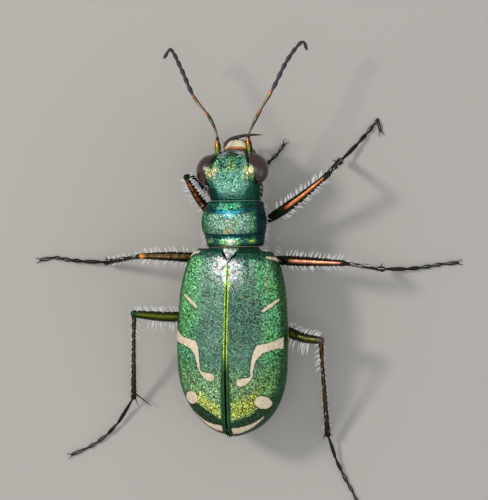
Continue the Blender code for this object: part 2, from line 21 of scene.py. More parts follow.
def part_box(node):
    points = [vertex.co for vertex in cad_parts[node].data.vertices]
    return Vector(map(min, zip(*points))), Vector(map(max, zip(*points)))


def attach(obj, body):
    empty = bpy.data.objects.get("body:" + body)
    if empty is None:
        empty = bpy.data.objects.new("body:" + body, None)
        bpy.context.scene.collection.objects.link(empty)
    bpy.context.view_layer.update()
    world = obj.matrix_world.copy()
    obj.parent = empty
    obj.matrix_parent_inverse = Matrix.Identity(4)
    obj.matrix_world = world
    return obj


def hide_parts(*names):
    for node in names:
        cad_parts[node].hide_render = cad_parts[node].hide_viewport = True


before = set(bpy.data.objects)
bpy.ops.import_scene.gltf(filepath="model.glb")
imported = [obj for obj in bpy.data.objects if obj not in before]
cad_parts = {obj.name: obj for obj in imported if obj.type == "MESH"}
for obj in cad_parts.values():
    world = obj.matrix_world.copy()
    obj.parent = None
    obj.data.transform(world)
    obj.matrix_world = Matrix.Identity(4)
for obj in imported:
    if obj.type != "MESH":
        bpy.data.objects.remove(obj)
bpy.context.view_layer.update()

MM = 0.001
BODY = "root"
SIDES = (("left", 1), ("right", -1))
WAIST = np.array([0.0, -0.1, 0.0])
FORE_YAW = 1.0               # turn of the fore body about the waist, in degrees
HIND_YAW = -1.8              # turn of the hind body about it
HEAD_YAW = 1.2               # further turn of the head on the neck
EYE = np.array([1.07, -3.85, 3.51])
EYE_RADII = np.array([0.65, 0.74, 0.61])
EYE_INNER = 0.2              # flattening of the half of the eye against the head
EYE_YAW = 17                 # turn of the eyes towards the front, in degrees
LEAST = 1e-9                 # shortest length that is still divided by
rng = np.random.default_rng(11)


# ---------------------------------------------------------------- places

def turned(points, degrees, about=WAIST):
    """Points turned about an upright line."""
    angle = math.radians(degrees)
    turn = np.array([[math.cos(angle), math.sin(angle), 0],
                     [-math.sin(angle), math.cos(angle), 0], [0, 0, 1]])
    return (np.asarray(points, float) - about) @ turn + about


def straight(points):
    """Place of what isn't turned."""
    return np.asarray(points, float)


def fore(points):
    """Place of what goes with the pronotum."""
    return turned(points, FORE_YAW)


def nodding(points):
    """Place of what goes with the head, which is turned further."""
    return fore(turned(points, HEAD_YAW, EYE * (0, 1, 1)))


def hind(points):
    """Place of what goes with the trunk, such as the abdomen and the left wing case."""
    return turned(points, HIND_YAW)


def mirrored(points, side):
    return np.asarray(points, float) * (side, 1, 1)


# ---------------------------------------------------------------- numbers, curves and colours

def unit(v):
    return v / np.maximum(np.linalg.norm(v, axis=-1, keepdims=True), LEAST)


def clamp(x):
    return np.clip(x, 0, 1)


def step(x, low, high):
    """0 below low and 1 above high, with a smooth rise between them."""
    t = clamp((x - low) / (high - low))
    return t * t * (3 - 2 * t)


def fall(x, low, high):
    return 1 - step(x, low, high)


def between(x, low, high, last, end):
    """A smooth rise from low to high, then 1, and a smooth fall from last to end."""
    return step(x, low, high) * fall(x, last, end)


def bell(x, width):
    return np.exp(-(x / width) ** 2)


def blob(x, wide, y, long):
    """Round hump that is 1 in its middle, from the offsets x and y."""
    return bell(np.hypot(x / wide, y / long), 1)


def curve(xs, ys, x):
    """Smooth cubic through the stations (xs, ys), read at x."""
    xs, ys, x = np.asarray(xs, float), np.asarray(ys, float), np.asarray(x, float)
    slope = np.gradient(ys, xs, axis=0)
    k = np.clip(np.searchsorted(xs, x) - 1, 0, len(xs) - 2)
    h = xs[k + 1] - xs[k]
    t = clamp((x - xs[k]) / h)
    if ys.ndim > 1:
        h, t = h[..., None], t[..., None]
    return ((2 * t ** 3 - 3 * t ** 2 + 1) * ys[k] + (t ** 3 - 2 * t ** 2 + t) * h * slope[k]
            + (3 * t ** 2 - 2 * t ** 3) * ys[k + 1] + (t ** 3 - t ** 2) * h * slope[k + 1])


def profile(stations, sizes, count):
    """Sizes at so many even places from 0 to 1, on a smooth curve through the given stations."""
    return curve(stations, sizes, np.linspace(0, 1, count))


def distances(points):
    """How far along a line each of its points lies."""
    return np.concatenate([[0], np.cumsum(np.linalg.norm(np.diff(points, axis=0), axis=1))])


def read(places, run, points):
    return np.stack([np.interp(places, run, points[:, k]) for k in range(3)], -1)


def course(points, count):
    """Evenly spaced points of a smooth curve through the given ones."""
    points = np.asarray(points, float)
    fine = curve(np.arange(len(points)), points, np.linspace(0, len(points) - 1, 40 * len(points)))
    run = distances(fine)
    return read(np.linspace(0, run[-1], count), run, fine)


def jointed(points, lengths, gap, fine, count):
    """The course of each segment of a jointed limb, which stops a gap before the next joint."""
    whole = course(points, fine)
    run = distances(whole)
    ends = np.concatenate([[0], np.cumsum(lengths)])
    ends *= run[-1] / ends[-1]
    return [read(np.linspace(near, far - gap, count), run, whole) for near, far in zip(ends, ends[1:])]


def ripple(points, size, seed):
    """Smooth random field in -1..1 whose lumps are about size mm across."""
    draw = np.random.default_rng(seed)
    total = 0
    for _ in range(7):
        way = unit(draw.normal(size=3)) * draw.uniform(0.7, 1.5) * math.pi / size
        total = total + np.sin(points @ way + draw.uniform(0, 6.3))
    return total / 3.5


def linear(colour):
    c = np.asarray(colour, float) / 255
    return np.where(c <= 0.04045, c / 12.92, ((c + 0.055) / 1.055) ** 2.4)


def rgba(*colour):
    return (*linear(colour), 1.0)


def paint(base, *layers):
    """Colours from a base and (colour, weight) layers laid over it in turn."""
    out = linear(base)
    for colour, weight in layers:
        weight = np.asarray(weight)[..., None]
        out = out + (linear(colour) - out) * weight
    return out


def looks(sparks, grain, mark=1.0):
    """The "look" of each vertex; it is far from any marking if mark isn't given."""
    return np.stack(np.broadcast_arrays(sparks, grain, mark), -1)


# ---------------------------------------------------------------- forms

def ellipsoid(centre, radii, rows=40, columns=56, bend=None):
    """Rows of points over an egg shape whose poles lie along X."""
    a = np.linspace(0.02, math.pi - 0.02, rows)[:, None]
    b = np.linspace(0, 2 * math.pi, columns, endpoint=False)[None]
    ball = np.stack([np.cos(a) * np.ones_like(b), np.sin(a) * np.cos(b), np.sin(a) * np.sin(b)], -1)
    points = ball * radii
    if bend is not None:
        points = points + ball * bend(ball)[..., None]
    return points + np.asarray(centre, float)


def eye_turn(points):
    angle = math.radians(EYE_YAW)
    return points @ np.array([[math.cos(angle), -math.sin(angle), 0],
                              [math.sin(angle), math.cos(angle), 0], [0, 0, 1]])


def eye_points(side):
    """Rows of points of an eye, flattened against the head and turned a little to the front."""
    ball = ellipsoid((0, 0, 0), EYE_RADII, 72, 96)
    ball[..., 0] *= np.where(ball[..., 0] < 0, EYE_INNER, 1.0)
    return mirrored(eye_turn(ball) + EYE, side)


def shift_of_solids():
    """From the design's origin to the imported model's, by the places of the eyes."""
    shift = 0
    for side, sign in SIDES:
        low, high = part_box(f"eye_{side}")
        eye = nodding(eye_points(sign)).reshape(-1, 3)
        shift = shift + np.array((low + high) / 2) / MM - (eye.min(0) + eye.max(0)) / 2
    return shift / 2


def rings(y, half, low, side, top, crown, keel, columns):
    """Closed rings across the body, one for each place y along it."""
    angle = np.linspace(0, 2 * math.pi, columns, endpoint=False)[None] + 0.5 * math.pi
    c, s = np.cos(angle), np.sin(angle)
    y, half, low, side, top, crown, keel = (
        np.broadcast_to(v, len(y)).astype(float)[:, None] for v in (y, half, low, side, top, crown, keel))
    power = np.where(s > 0, 2 / crown, 2 / keel)
    rise = np.where(s > 0, top - side, side - low)
    x = half * np.sign(c) * np.abs(c) ** power
    z = side + rise * np.sign(s) * np.abs(s) ** power
    return np.stack([x, y + 0 * x, z], -1)


def outward(rows, closed=True):
    """Normals of a grid of points, which look away from the line through its middle."""
    if closed:
        across = np.roll(rows, -1, 1) - np.roll(rows, 1, 1)
    else:
        across = np.gradient(rows, axis=1)
    found = unit(np.cross(np.gradient(rows, axis=0), across))
    flip = np.sign(np.sum(found * (rows - rows.mean(1, keepdims=True)), axis=(0, 1)).sum())
    return found * (flip or 1.0)


def raised(rows, relief, closed=True):
    return rows + outward(rows, closed) * relief[..., None]


def parts_of(rows):
    return rows[..., 0], rows[..., 1], rows[..., 2]


SHIFT = shift_of_solids()


class Limb:
    """Tapered tube along a path, whose top keeps to one side, with rounded ends."""

    CAP = np.radians([86, 64, 40, 18])

    def __init__(self, path, radii, flat=1.0, up=(0, 0, 1), sides=16, blunt=True):
        path = np.asarray(path, float)
        radii = np.broadcast_to(radii, len(path)).astype(float)
        tangent = unit(np.gradient(path, axis=0))
        side = unit(np.cross(tangent, np.asarray(up, float)))
        if blunt:
            caps, slim, more = np.sin(self.CAP), np.cos(self.CAP), len(self.CAP)
            path = np.concatenate([path[0] - tangent[0] * radii[0] * caps[:, None], path,
                                   path[-1] + tangent[-1] * radii[-1] * caps[::-1, None]])
            radii = np.concatenate([radii[0] * slim, radii, radii[-1] * slim[::-1]])
            tangent = np.pad(tangent, ((more, more), (0, 0)), "edge")
            side = np.pad(side, ((more, more), (0, 0)), "edge")
        self.path, self.radii, self.flat = path, radii, flat
        self.tangent, self.side, self.top = tangent, side, np.cross(side, tangent)
        angle = np.linspace(0, 2 * math.pi, sides, endpoint=False)
        ring = side[:, None] * np.cos(angle)[:, None] + self.top[:, None] * (flat * np.sin(angle))[:, None]
        self.rows = path[:, None] + ring * radii[:, None, None]
        self.run = distances(path)
        self.share = (self.run / self.run[-1])[:, None] * np.ones(sides)
        self.round = np.ones((len(path), 1)) * angle

    def off(self, angle):
        """How far each vertex is turned from an angle round the limb, from -pi to pi."""
        return np.angle(np.exp(1j * (self.round - angle)))

    def at(self, run, angle):
        """Surface point, outward way and heading at a distance along the limb and an angle round it."""
        side, top, ahead = (unit(read(run, self.run, way)) for way in (self.side, self.top, self.tangent))
        away = side * np.cos(angle)[:, None] + top * (self.flat * np.sin(angle))[:, None]
        spot = read(run, self.run, self.path) + away * np.interp(run, self.run, self.radii)[:, None]
        return spot, unit(away), ahead


class Piece:
    """Gathers surfaces in mm, with colours, and makes one object of them."""

    def __init__(self, name, place=straight):
        self.name, self.place = name, place
        self.points, self.faces, self.tints, self.looks, self.maps = [], [], [], [], []
        self.count = 0

    def put(self, points, faces, tint, look, maps=None):
        total = len(points)
        self.points.append(self.place(points))
        self.faces += [tuple(face) for face in (np.asarray(faces) + self.count).tolist()]
        self.tints.append(np.broadcast_to(tint, (total, 3)))
        self.looks.append(np.broadcast_to(look, (total, 3)))
        if maps is not None:
            self.maps.append(maps)
        self.count += total

    def grid(self, rows, tint, look=(0, 1, 1), closed=True):
        """Surface over rows of points. A closed one is a tube, with its first and last row filled."""
        rows = np.asarray(rows, float)
        m, n = rows.shape[:2]
        tint = np.broadcast_to(tint, (m, n, 3)).reshape(-1, 3)
        look = np.broadcast_to(look, (m, n, 3)).reshape(-1, 3)
        index = np.arange(m * n).reshape(m, n)
        near, far = index, np.roll(index, -1, 1)
        if not closed:
            near, far = near[:, :-1], far[:, :-1]
        start = self.count
        self.put(rows.reshape(-1, 3), np.stack([near[:-1], far[:-1], far[1:], near[1:]], -1).reshape(-1, 4),
                 tint, look)
        for row in (0, m - 1) if closed else ():
            hub, ring, first = self.count, index[row] + start, index[row, :1]
            self.put(rows[row].mean(0)[None], np.zeros((0, 3), int), tint[first], look[first])
            fan = np.stack([ring, np.roll(ring, -1), np.full(n, hub)], 1)
            self.faces += [tuple(face) for face in fan.tolist()]

    def tube(self, path, radii, tint, look=(0, 1, 1), **shape):
        """Adds a limb; its tint is a colour, or a function of the limb."""
        limb = Limb(path, radii, **shape)
        self.grid(limb.rows, tint(limb) if callable(tint) else linear(tint), look)
        return limb

    def make(self, material, slot, *nodes, thick=0.0):
        mesh = bpy.data.meshes.new(self.name)
        mesh.from_pydata(((np.concatenate(self.points) + SHIFT) * MM).tolist(), [], self.faces)
        shape = bmesh.new()
        shape.from_mesh(mesh)
        bmesh.ops.recalc_face_normals(shape, faces=shape.faces)
        shape.to_mesh(mesh)
        shape.free()
        mesh.shade_smooth()
        for title, values in (("tint", self.tints), ("look", self.looks)):
            flat = np.ones((self.count, 4), np.float32)
            flat[:, :3] = np.concatenate(values)
            layer = mesh.color_attributes.new(title, "FLOAT_COLOR", "POINT")
            layer.data.foreach_set("color", flat.ravel())
        if self.maps:
            corner = np.zeros(len(mesh.loops), np.int32)
            mesh.loops.foreach_get("vertex_index", corner)
            spread = np.concatenate(self.maps).astype(np.float32)[corner]
            mesh.uv_layers.new(name="OFBake").data.foreach_set("uv", spread.ravel())
        mesh.materials.append(material)
        item = bpy.data.objects.new(self.name, mesh)
        bpy.context.scene.collection.objects.link(item)
        if thick:
            wall = item.modifiers.new("Wall", "SOLIDIFY")
            wall.thickness, wall.offset = thick * MM, -1.0
        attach(item, BODY)
        if nodes:
            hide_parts(*nodes)


# ---------------------------------------------------------------- hairs

HAIR_SIDES, HAIR_RINGS = 3, 5
HAIR_TILE = 0.003            # each hair's share of the width and height of its coat's map


def bristles(coat, roots, ways, bends, lengths, radius, colour, tiles):
    """Curved tapered hairs, all in one mesh, each a small patch on the coat's own map."""
    total, sides = len(roots), HAIR_SIDES
    along = np.linspace(0, 1, HAIR_RINGS)
    spine = (roots[:, None] - unit(ways)[:, None] * 0.03 + lengths[:, None, None]
             * (ways[:, None] * along[:, None] + bends[:, None] * along[:, None] ** 2))
    heading = unit(ways[:, None] + 2 * bends[:, None] * along[:, None])
    aside = unit(np.cross(heading, np.array([0.31, 0.52, 0.79])))
    above = np.cross(aside, heading)
    girth = (np.broadcast_to(radius, total)[:, None] * (1 - 0.94 * along ** 1.6))[..., None, None]
    turn = np.linspace(0, 2 * math.pi, sides, endpoint=False)[:, None]
    points = spine[:, :, None] + girth * (aside[:, :, None] * np.cos(turn) + above[:, :, None] * np.sin(turn))
    index = np.arange(total * HAIR_RINGS * sides).reshape(total, HAIR_RINGS, sides)
    near, far = index[:, :-1], index[:, 1:]
    quads = np.stack([near, np.roll(near, -1, 2), np.roll(far, -1, 2), far], -1).reshape(-1, 4)
    maps = np.zeros((total, HAIR_RINGS, sides, 2))
    maps[..., 0] = tiles[:, None, None, 0] + HAIR_TILE * np.arange(sides) / (sides - 1)
    maps[..., 1] = tiles[:, None, None, 1] + HAIR_TILE * along[:, None]
    base = coat.count
    coat.put(points.reshape(-1, 3), quads, linear(colour), (0, 0, 1), maps.reshape(-1, 2))
    for ends in (index[:, 0, ::-1], index[:, -1]):
        coat.faces += [tuple(face) for face in (ends + base).tolist()]


def fringe(coat, limb, angles, start, end, spacing, length, lean=0.5, curl=0.25, radius=0.018,
           colour=(255, 254, 251), tile=(0.0, 0.0), spread=0.25):
    """Rows of hairs along a limb, one row at each angle round it."""
    reach = limb.run[-1]
    count = max(1, int((end - start) * reach / spacing))
    for order, angle in enumerate(angles):
        run = reach * (start + (end - start) * (np.arange(count) + rng.uniform(0.15, 0.85, count)) / count)
        spot, away, ahead = limb.at(run, angle + rng.normal(0, spread, count))
        ways = unit(away + ahead * (lean + rng.normal(0, 0.12, count))[:, None])
        bends = ahead * (curl + rng.normal(0, 0.06, count))[:, None]
        sizes = length * rng.uniform(0.72, 1.15, count)
        tiles = np.stack([tile[0] + 0.19 * run / reach, np.full(count, tile[1] + 0.006 * order)], 1)
        bristles(coat, spot, ways, bends, sizes, radius, colour, tiles)


def patch(coat, place, centre, spread, normal, heading, count, length, tile, project=straight):
    """Loose group of hairs over a patch of the body."""
    spots = project(np.array(centre) + rng.normal(0, 1, (count, 3)) * np.array(spread))
    ways = unit(np.array(normal) + rng.normal(0, 0.25, (count, 3)) + np.array(heading) * 0.5)
    bends = np.array(heading) * 0.3 + rng.normal(0, 0.07, (count, 3))
    tiles = np.stack([tile + rng.uniform(0, 0.08, count), 0.92 + rng.uniform(0, 0.03, count)], 1)
    bristles(coat, place(spots), place(ways) - place((0, 0, 0)), bends, length * rng.uniform(0.6, 1.2, count),
             0.014, (246, 244, 238), tiles)


def on_ring(half, low, side, top, crown=2.4, keel=2.2):
    """A way of moving points out to the skin of a body section."""
    def project(spots):
        upper = spots[:, 2] > side
        rise = np.clip((spots[:, 2] - side) / np.where(upper, top - side, side - low), -0.98, 0.98)
        power = np.where(upper, crown, keel)
        across = np.sign(spots[:, 0]) * half * (1 - np.abs(rise) ** power) ** (1 / power)
        return np.stack([across, spots[:, 1], spots[:, 2]], 1)
    return project


# ---------------------------------------------------------------- materials

SILVERY = 0.56               # share of flecks from which they are silvery
# Colours of the flecks, which are painted glints, by the share of them from which each is used: all over, and
# in silvery places
FLECK_GLINTS = ((0.0, (176, 224, 92)), (0.12, (120, 215, 196)), (0.34, (130, 222, 122)), (0.62, (200, 226, 210)),
          (0.95, (244, 226, 190)))
SILVER_GLINTS = ((0.0, (250, 240, 244)), (0.30, (236, 176, 206)), (0.46, (168, 204, 250)), (0.64, (255, 196, 128)),
          (0.76, (120, 206, 170)), (0.88, (246, 250, 250)))


class Weave:
    """Short way of wiring the nodes of a material."""

    def __init__(self, name):
        self.material = bpy.data.materials.new(name)
        self.material.use_nodes = True
        self.tree = self.material.node_tree
        self.shader = self.tree.nodes["Principled BSDF"]

    def put(self, socket, value):
        if isinstance(value, bpy.types.NodeSocket):
            self.tree.links.new(value, socket)
        else:
            socket.default_value = value

    def node(self, kind, values=None, **settings):
        made = self.tree.nodes.new("ShaderNode" + kind)
        for key, value in settings.items():
            setattr(made, key, value)
        for key, value in (values or {}).items():
            self.put(made.inputs[key], value)
        return made

    def math(self, operation, *values):
        return self.node("Math", dict(enumerate(values)), operation=operation).outputs[0]

    def vector(self, operation, *values):
        return self.node("VectorMath", dict(enumerate(values)), operation=operation).outputs[0]

    def mix(self, factor, a, b, kind="MIX"):
        return self.node("Mix", {0: factor, 6: a, 7: b}, data_type="RGBA", blend_type=kind).outputs[2]

    def dimmed(self, colour, factor):
        grey = self.node("CombineXYZ", {0: factor, 1: factor, 2: factor}).outputs[0]
        return self.mix(1.0, colour, grey, "MULTIPLY")

    def span(self, value, low, high, first=0.0, last=1.0):
        return self.node("MapRange", {0: value, 1: low, 2: high, 3: first, 4: last}).outputs[0]

    def noise(self, place, size, detail=3.0, rough=0.55):
        values = {"Vector": place, "Scale": 1 / size, "Detail": detail, "Roughness": rough}
        return self.node("TexNoise", values).outputs[0]

    def cloud(self, place, size, first, last):
        """Soft lumps of this size in mm, with values from first to last."""
        return self.span(self.noise(place, size), 0.3, 0.7, first, last)

    def cells(self, place, scale, **settings):
        return self.node("TexVoronoi", {"Vector": place, "Scale": scale}, **settings)

    def palette(self, value, colours):
        ramp = self.node("ValToRGB", {0: value})
        ramp.color_ramp.interpolation = "CONSTANT"
        ramp.color_ramp.elements.remove(ramp.color_ramp.elements[1])
        ramp.color_ramp.elements[0].color = rgba(*colours[0][1])
        for spot, colour in colours[1:]:
            ramp.color_ramp.elements.new(spot).color = rgba(*colour)
        return ramp.outputs[0]

    def stored(self, title):
        """Colour that the mesh carries under this title."""
        return self.node("Attribute", attribute_name=title).outputs["Color"]

    def millimetres(self):
        return self.vector("MULTIPLY", self.node("TexCoord").outputs["Object"], (1000.0,) * 3)

    def bump(self, strength, pit, height, **more):
        values = {"Strength": strength, "Distance": pit * MM, "Height": height, **more}
        return self.node("Bump", values).outputs[0]

    def shade(self, **values):
        for key, value in values.items():
            self.put(self.shader.inputs[key.replace("_", " ")], value)


def cream(net, place, mark, base, metal, gloss):
    """Colour, metal and roughness of a cuticle with its cream markings; mark is 0.5 at their edge."""
    frayed = net.math("SUBTRACT", net.noise(place, 0.09, 3.0, 0.7), 0.5)
    ragged = net.math("MULTIPLY_ADD", frayed, 0.13, net.math("SUBTRACT", mark, 0.5))
    pale = net.span(ragged, -0.012, 0.014, 1.0, 0.0)
    rim = net.span(net.math("ABSOLUTE", net.math("SUBTRACT", ragged, 0.035)), 0.0, 0.05, 0.55, 0.0)
    base = net.mix(rim, base, rgba(18, 34, 20))
    dots = net.cells(place, 3.3).outputs["Distance"]
    ivory = net.mix(net.span(net.noise(place, 0.16), 0.35, 0.65), rgba(248, 230, 199), rgba(228, 203, 170))
    ivory = net.mix(net.span(dots, 0.08, 0.14, 0.4, 0.0), ivory, rgba(96, 84, 52))
    base = net.mix(pale, base, ivory)
    return base, net.span(pale, 0.0, 1.0, metal, 0.0), net.math("MULTIPLY_ADD", pale, 0.12, gloss)


def cuticle(name, tilt, cell=0.05, metal=0.8, rough=0.32, pit=0.018, vary=0.4, coat=0.08, edge=0.5,
            marked=False):
    """Metallic shell: its small facets differ in hue and lean, and flecks of painted glint in other colours
    sparkle in it.
    """
    net = Weave(name)
    tint = net.stored("tint")
    sparkle, grainy, mark = net.node("SeparateColor", {0: net.stored("look")}).outputs
    place = net.millimetres()
    askew = net.node("VectorRotate", {"Vector": place, "Axis": (0.4, 0.3, 0.87), "Angle": 0.6}).outputs[0]
    grain, coarse = net.cells(askew, 1 / cell), net.cells(askew, 0.62 / cell)
    silvery = net.math("GREATER_THAN", sparkle, SILVERY)
    facet = net.mix(silvery, grain.outputs["Color"], coarse.outputs["Color"])
    pick, chance, shade = net.node("SeparateColor", {0: facet}).outputs

    # Body colour, darker and lighter from facet to facet
    skew = net.math("SUBTRACT", net.math("POWER", shade, 3.0), 0.25)
    light = net.math("MULTIPLY_ADD", skew, net.math("MULTIPLY", grainy, 1.5 * vary), 0.99)
    hue = net.node("HueSaturation", {"Hue": net.cloud(place, 1.3, 0.475, 0.525), "Saturation": 1.0,
                                     "Value": net.cloud(place, 0.5, 0.86, 1.14), "Color": tint}).outputs[0]
    base = net.dimmed(hue, light)

    # Flecks: painted glints, in the body's hue made brighter and in the glint palettes
    glint = net.math("MULTIPLY", sparkle, net.math("GREATER_THAN", chance, 0.70))
    bright = net.mix(1.0, hue, (2.1, 2.1, 2.1, 1.0), "MULTIPLY")
    fleck = net.mix(silvery, net.palette(pick, FLECK_GLINTS), net.palette(pick, SILVER_GLINTS))
    spark = net.mix(net.math("MULTIPLY_ADD", silvery, 0.3, 0.4), bright, fleck)
    base = net.mix(net.math("MINIMUM", net.math("MULTIPLY", glint, 1.8), 1.0), base, spark)

    # Lean of the facets, and the grain in relief
    away = net.vector("SUBTRACT", facet, (0.5, 0.5, 0.5))
    strength = net.math("MULTIPLY", grainy, tilt)
    lean = net.node("VectorMath", {0: away, "Scale": strength}, operation="SCALE").outputs[0]
    normal = net.vector("NORMALIZE", net.vector("ADD", net.node("NewGeometry").outputs["Normal"], lean))
    rough_cells = net.math("ADD", grain.outputs["Distance"], net.noise(place, 0.05, 2.0))
    height = net.math("MULTIPLY", rough_cells, grainy)
    gloss = net.cloud(place, 0.2, rough - 0.07, rough + 0.09)
    if marked:
        base, metal, gloss = cream(net, place, mark, base, metal, gloss)
    net.shade(Base_Color=base, Metallic=metal, Roughness=gloss, Coat_Weight=coat, Coat_Roughness=0.25,
              Specular_Tint=net.mix(edge, (1.0, 1.0, 1.0, 1.0), base),
              Normal=net.bump(0.7, pit, height, Normal=normal))
    return net.material


def horn(name, rough, size=0.12, sheen=(0.8, 1.2), coat=0.0, pit=0.006, skin=0.0):
    """Smooth chitin: colour from the mesh with cloudy variation, fine scratches and a gloss."""
    net = Weave(name)
    tint, place = net.stored("tint"), net.millimetres()
    base = net.dimmed(tint, net.cloud(place, size, *sheen))
    height = net.noise(place, 0.03, 4.0, 0.65)
    net.shade(Base_Color=base, Roughness=net.cloud(place, 0.09, rough - 0.08, rough + 0.1),
              Coat_Weight=coat, Coat_Roughness=0.15,
              Subsurface_Weight=skin, Subsurface_Radius=(0.2, 0.1, 0.05), Subsurface_Scale=0.25 * MM,
              Normal=net.bump(0.6, pit, height))
    return net.material


def facets(name):
    """Compound eye: close-set lenses over a dark red-brown ground."""
    net = Weave(name)
    tint, place = net.stored("tint"), net.millimetres()
    lens, edge = net.cells(place, 26.0), net.cells(place, 26.0, feature="DISTANCE_TO_EDGE")
    for kind in (lens, edge):
        kind.inputs["Randomness"].default_value = 0.35
    base = net.dimmed(tint, net.cloud(place, 0.35, 0.8, 1.25))
    base = net.mix(net.span(edge.outputs["Distance"], 0.02, 0.14, 0.55, 0.0), base, rgba(20, 12, 12))
    height = net.span(lens.outputs["Distance"], 0.0, 0.7, 1.0, 0.0)
    net.shade(Base_Color=base, Roughness=0.22, Specular_IOR_Level=0.2,
              Coat_Weight=0.9, Coat_IOR=1.6, Coat_Roughness=0.27, Normal=net.bump(0.55, 0.012, height))
    return net.material


def hair_material(name):
    net = Weave(name)
    tint, place = net.stored("tint"), net.millimetres()
    base = net.mix(net.cloud(place, 0.15, 0.0, 0.35), tint, rgba(236, 233, 226))
    net.shade(Base_Color=base, Roughness=net.cloud(place, 0.05, 0.3, 0.5))
    return net.material


ELYTRA = cuticle("elytra_cuticle", 0.64, rough=0.36, vary=1.7, marked=True)
SHELL = cuticle("granular_cuticle", 0.62, vary=1.05)
BELLY = cuticle("belly_cuticle", 0.2, cell=0.11, metal=0.75, rough=0.38, pit=0.012, vary=0.3, coat=0.12)
LEG = cuticle("leg_cuticle", 0.3, metal=0.75, rough=0.33, pit=0.01, coat=0.05, edge=0.9)
ANTENNA = cuticle("antenna_cuticle", 0.25, cell=0.04, metal=0.7, pit=0.008, coat=0.05, edge=0.9)
DULL = horn("antenna_whip", 0.5, size=0.06, sheen=(0.55, 1.8), pit=0.015)
HORN = horn("mandible_horn", 0.32, coat=0.2)
IVORY = horn("labrum_ivory", 0.38, coat=0.25, skin=0.25, sheen=(0.88, 1.08))
SKIN = horn("joint_membrane", 0.5, skin=0.2, sheen=(0.8, 1.1), pit=0.015)
LENS = facets("eye_facets")
SETA = hair_material("white_setae")


# ---------------------------------------------------------------- wing cases

LENGTH = 8.60
HALF_WIDTH = 2.62
WIDEST = 3.9                 # how far behind its base a wing case is widest
HIGHEST = 2.4                # and highest

# Across a wing case: places of its first points from the seam, and of its last ones from the outer
# edge; and steps back and up, from its first row, of the rows that round off its base
SEAM = np.array([0, 0.0, 0.01, 0.02, 0.034, 0.048, 0.062, 0.08, 0.11, 0.15, 0.2, 0.25])
LIP = np.array([(0.010, -0.03), (0.022, -0.06), (0.026, -0.10), (0.012, -0.14), (-0.05, -0.18),
                (-0.18, -0.22), (-0.42, -0.24)])
BASE = ((0.14, -0.40), (0.02, -0.34), (-0.04, -0.2), (-0.05, -0.10), (-0.03, -0.03))

# Cream markings of one wing case, as strokes of (x, y, half width) from the suture and the base
STROKES = (
    ((1.50, 0.03, 0.05), (1.80, 0.09, 0.07), (2.02, 0.25, 0.06)),
    ((2.09, 2.05, 0.045), (1.80, 2.32, 0.08), (1.46, 2.60, 0.05)),
    ((2.66, 3.94, 0.26), (2.44, 4.06, 0.20), (2.18, 4.19, 0.165), (1.84, 4.30, 0.185), (1.61, 4.38, 0.215),
     (1.45, 4.64, 0.155), (1.37, 4.94, 0.09), (1.32, 5.28, 0.06), (1.25, 5.57, 0.03), (1.13, 5.71, 0.075),
     (0.92, 5.82, 0.15), (0.71, 5.88, 0.18)),
    ((0.28, 8.26, 0.135), (0.60, 8.21, 0.125), (0.92, 8.09, 0.09), (1.19, 7.95, 0.06), (1.46, 7.75, 0.03),
     (1.70, 7.53, 0.012)),
)
SPOT = (1.74, 6.86, 0.34, 0.295)     # the round one: x, y, half width and half length


def elytra_width(y):
    ahead, behind = clamp((WIDEST - y) / WIDEST), clamp((y - WIDEST) / (LENGTH - WIDEST))
    share = np.where(y < WIDEST, 0.66 + 0.34 * np.sqrt(1 - ahead ** 2), (1 - behind ** 3.2) ** 0.6)
    return HALF_WIDTH * share


def elytra_edge(y):
    return 3.42 - 0.085 * y - 0.20 * step(y, 5.0, 8.0) + 0.30 * step(y, 7.9, 8.6)


def elytra_top(y):
    rise = 4.74 - 0.16 * np.clip((HIGHEST - y) / HIGHEST, 0, None) ** 2
    return rise - 0.98 * np.clip((y - HIGHEST) / (LENGTH - HIGHEST), 0, None) ** 2.3


def seam_gap(y):
    return 0.010 + 0.014 * step(y, 1.2, 2.2) + 0.012 * step(y, 4.2, 7.0)


def marking(x, y):
    """Distance in mm from the nearest cream marking, negative inside it."""
    found = (np.hypot((x - SPOT[0]) / SPOT[2], (y - SPOT[1]) / SPOT[3]) - 1) * SPOT[3]
    for stroke in STROKES:
        for (ax, ay, ar), (bx, by, br) in zip(stroke, stroke[1:]):
            t = clamp(((x - ax) * (bx - ax) + (y - ay) * (by - ay)) / ((bx - ax) ** 2 + (by - ay) ** 2))
            away = np.hypot(x - ax - t * (bx - ax), y - ay - t * (by - ay)) - (ar + t * (br - ar))
            found = np.minimum(found, away)
    return found


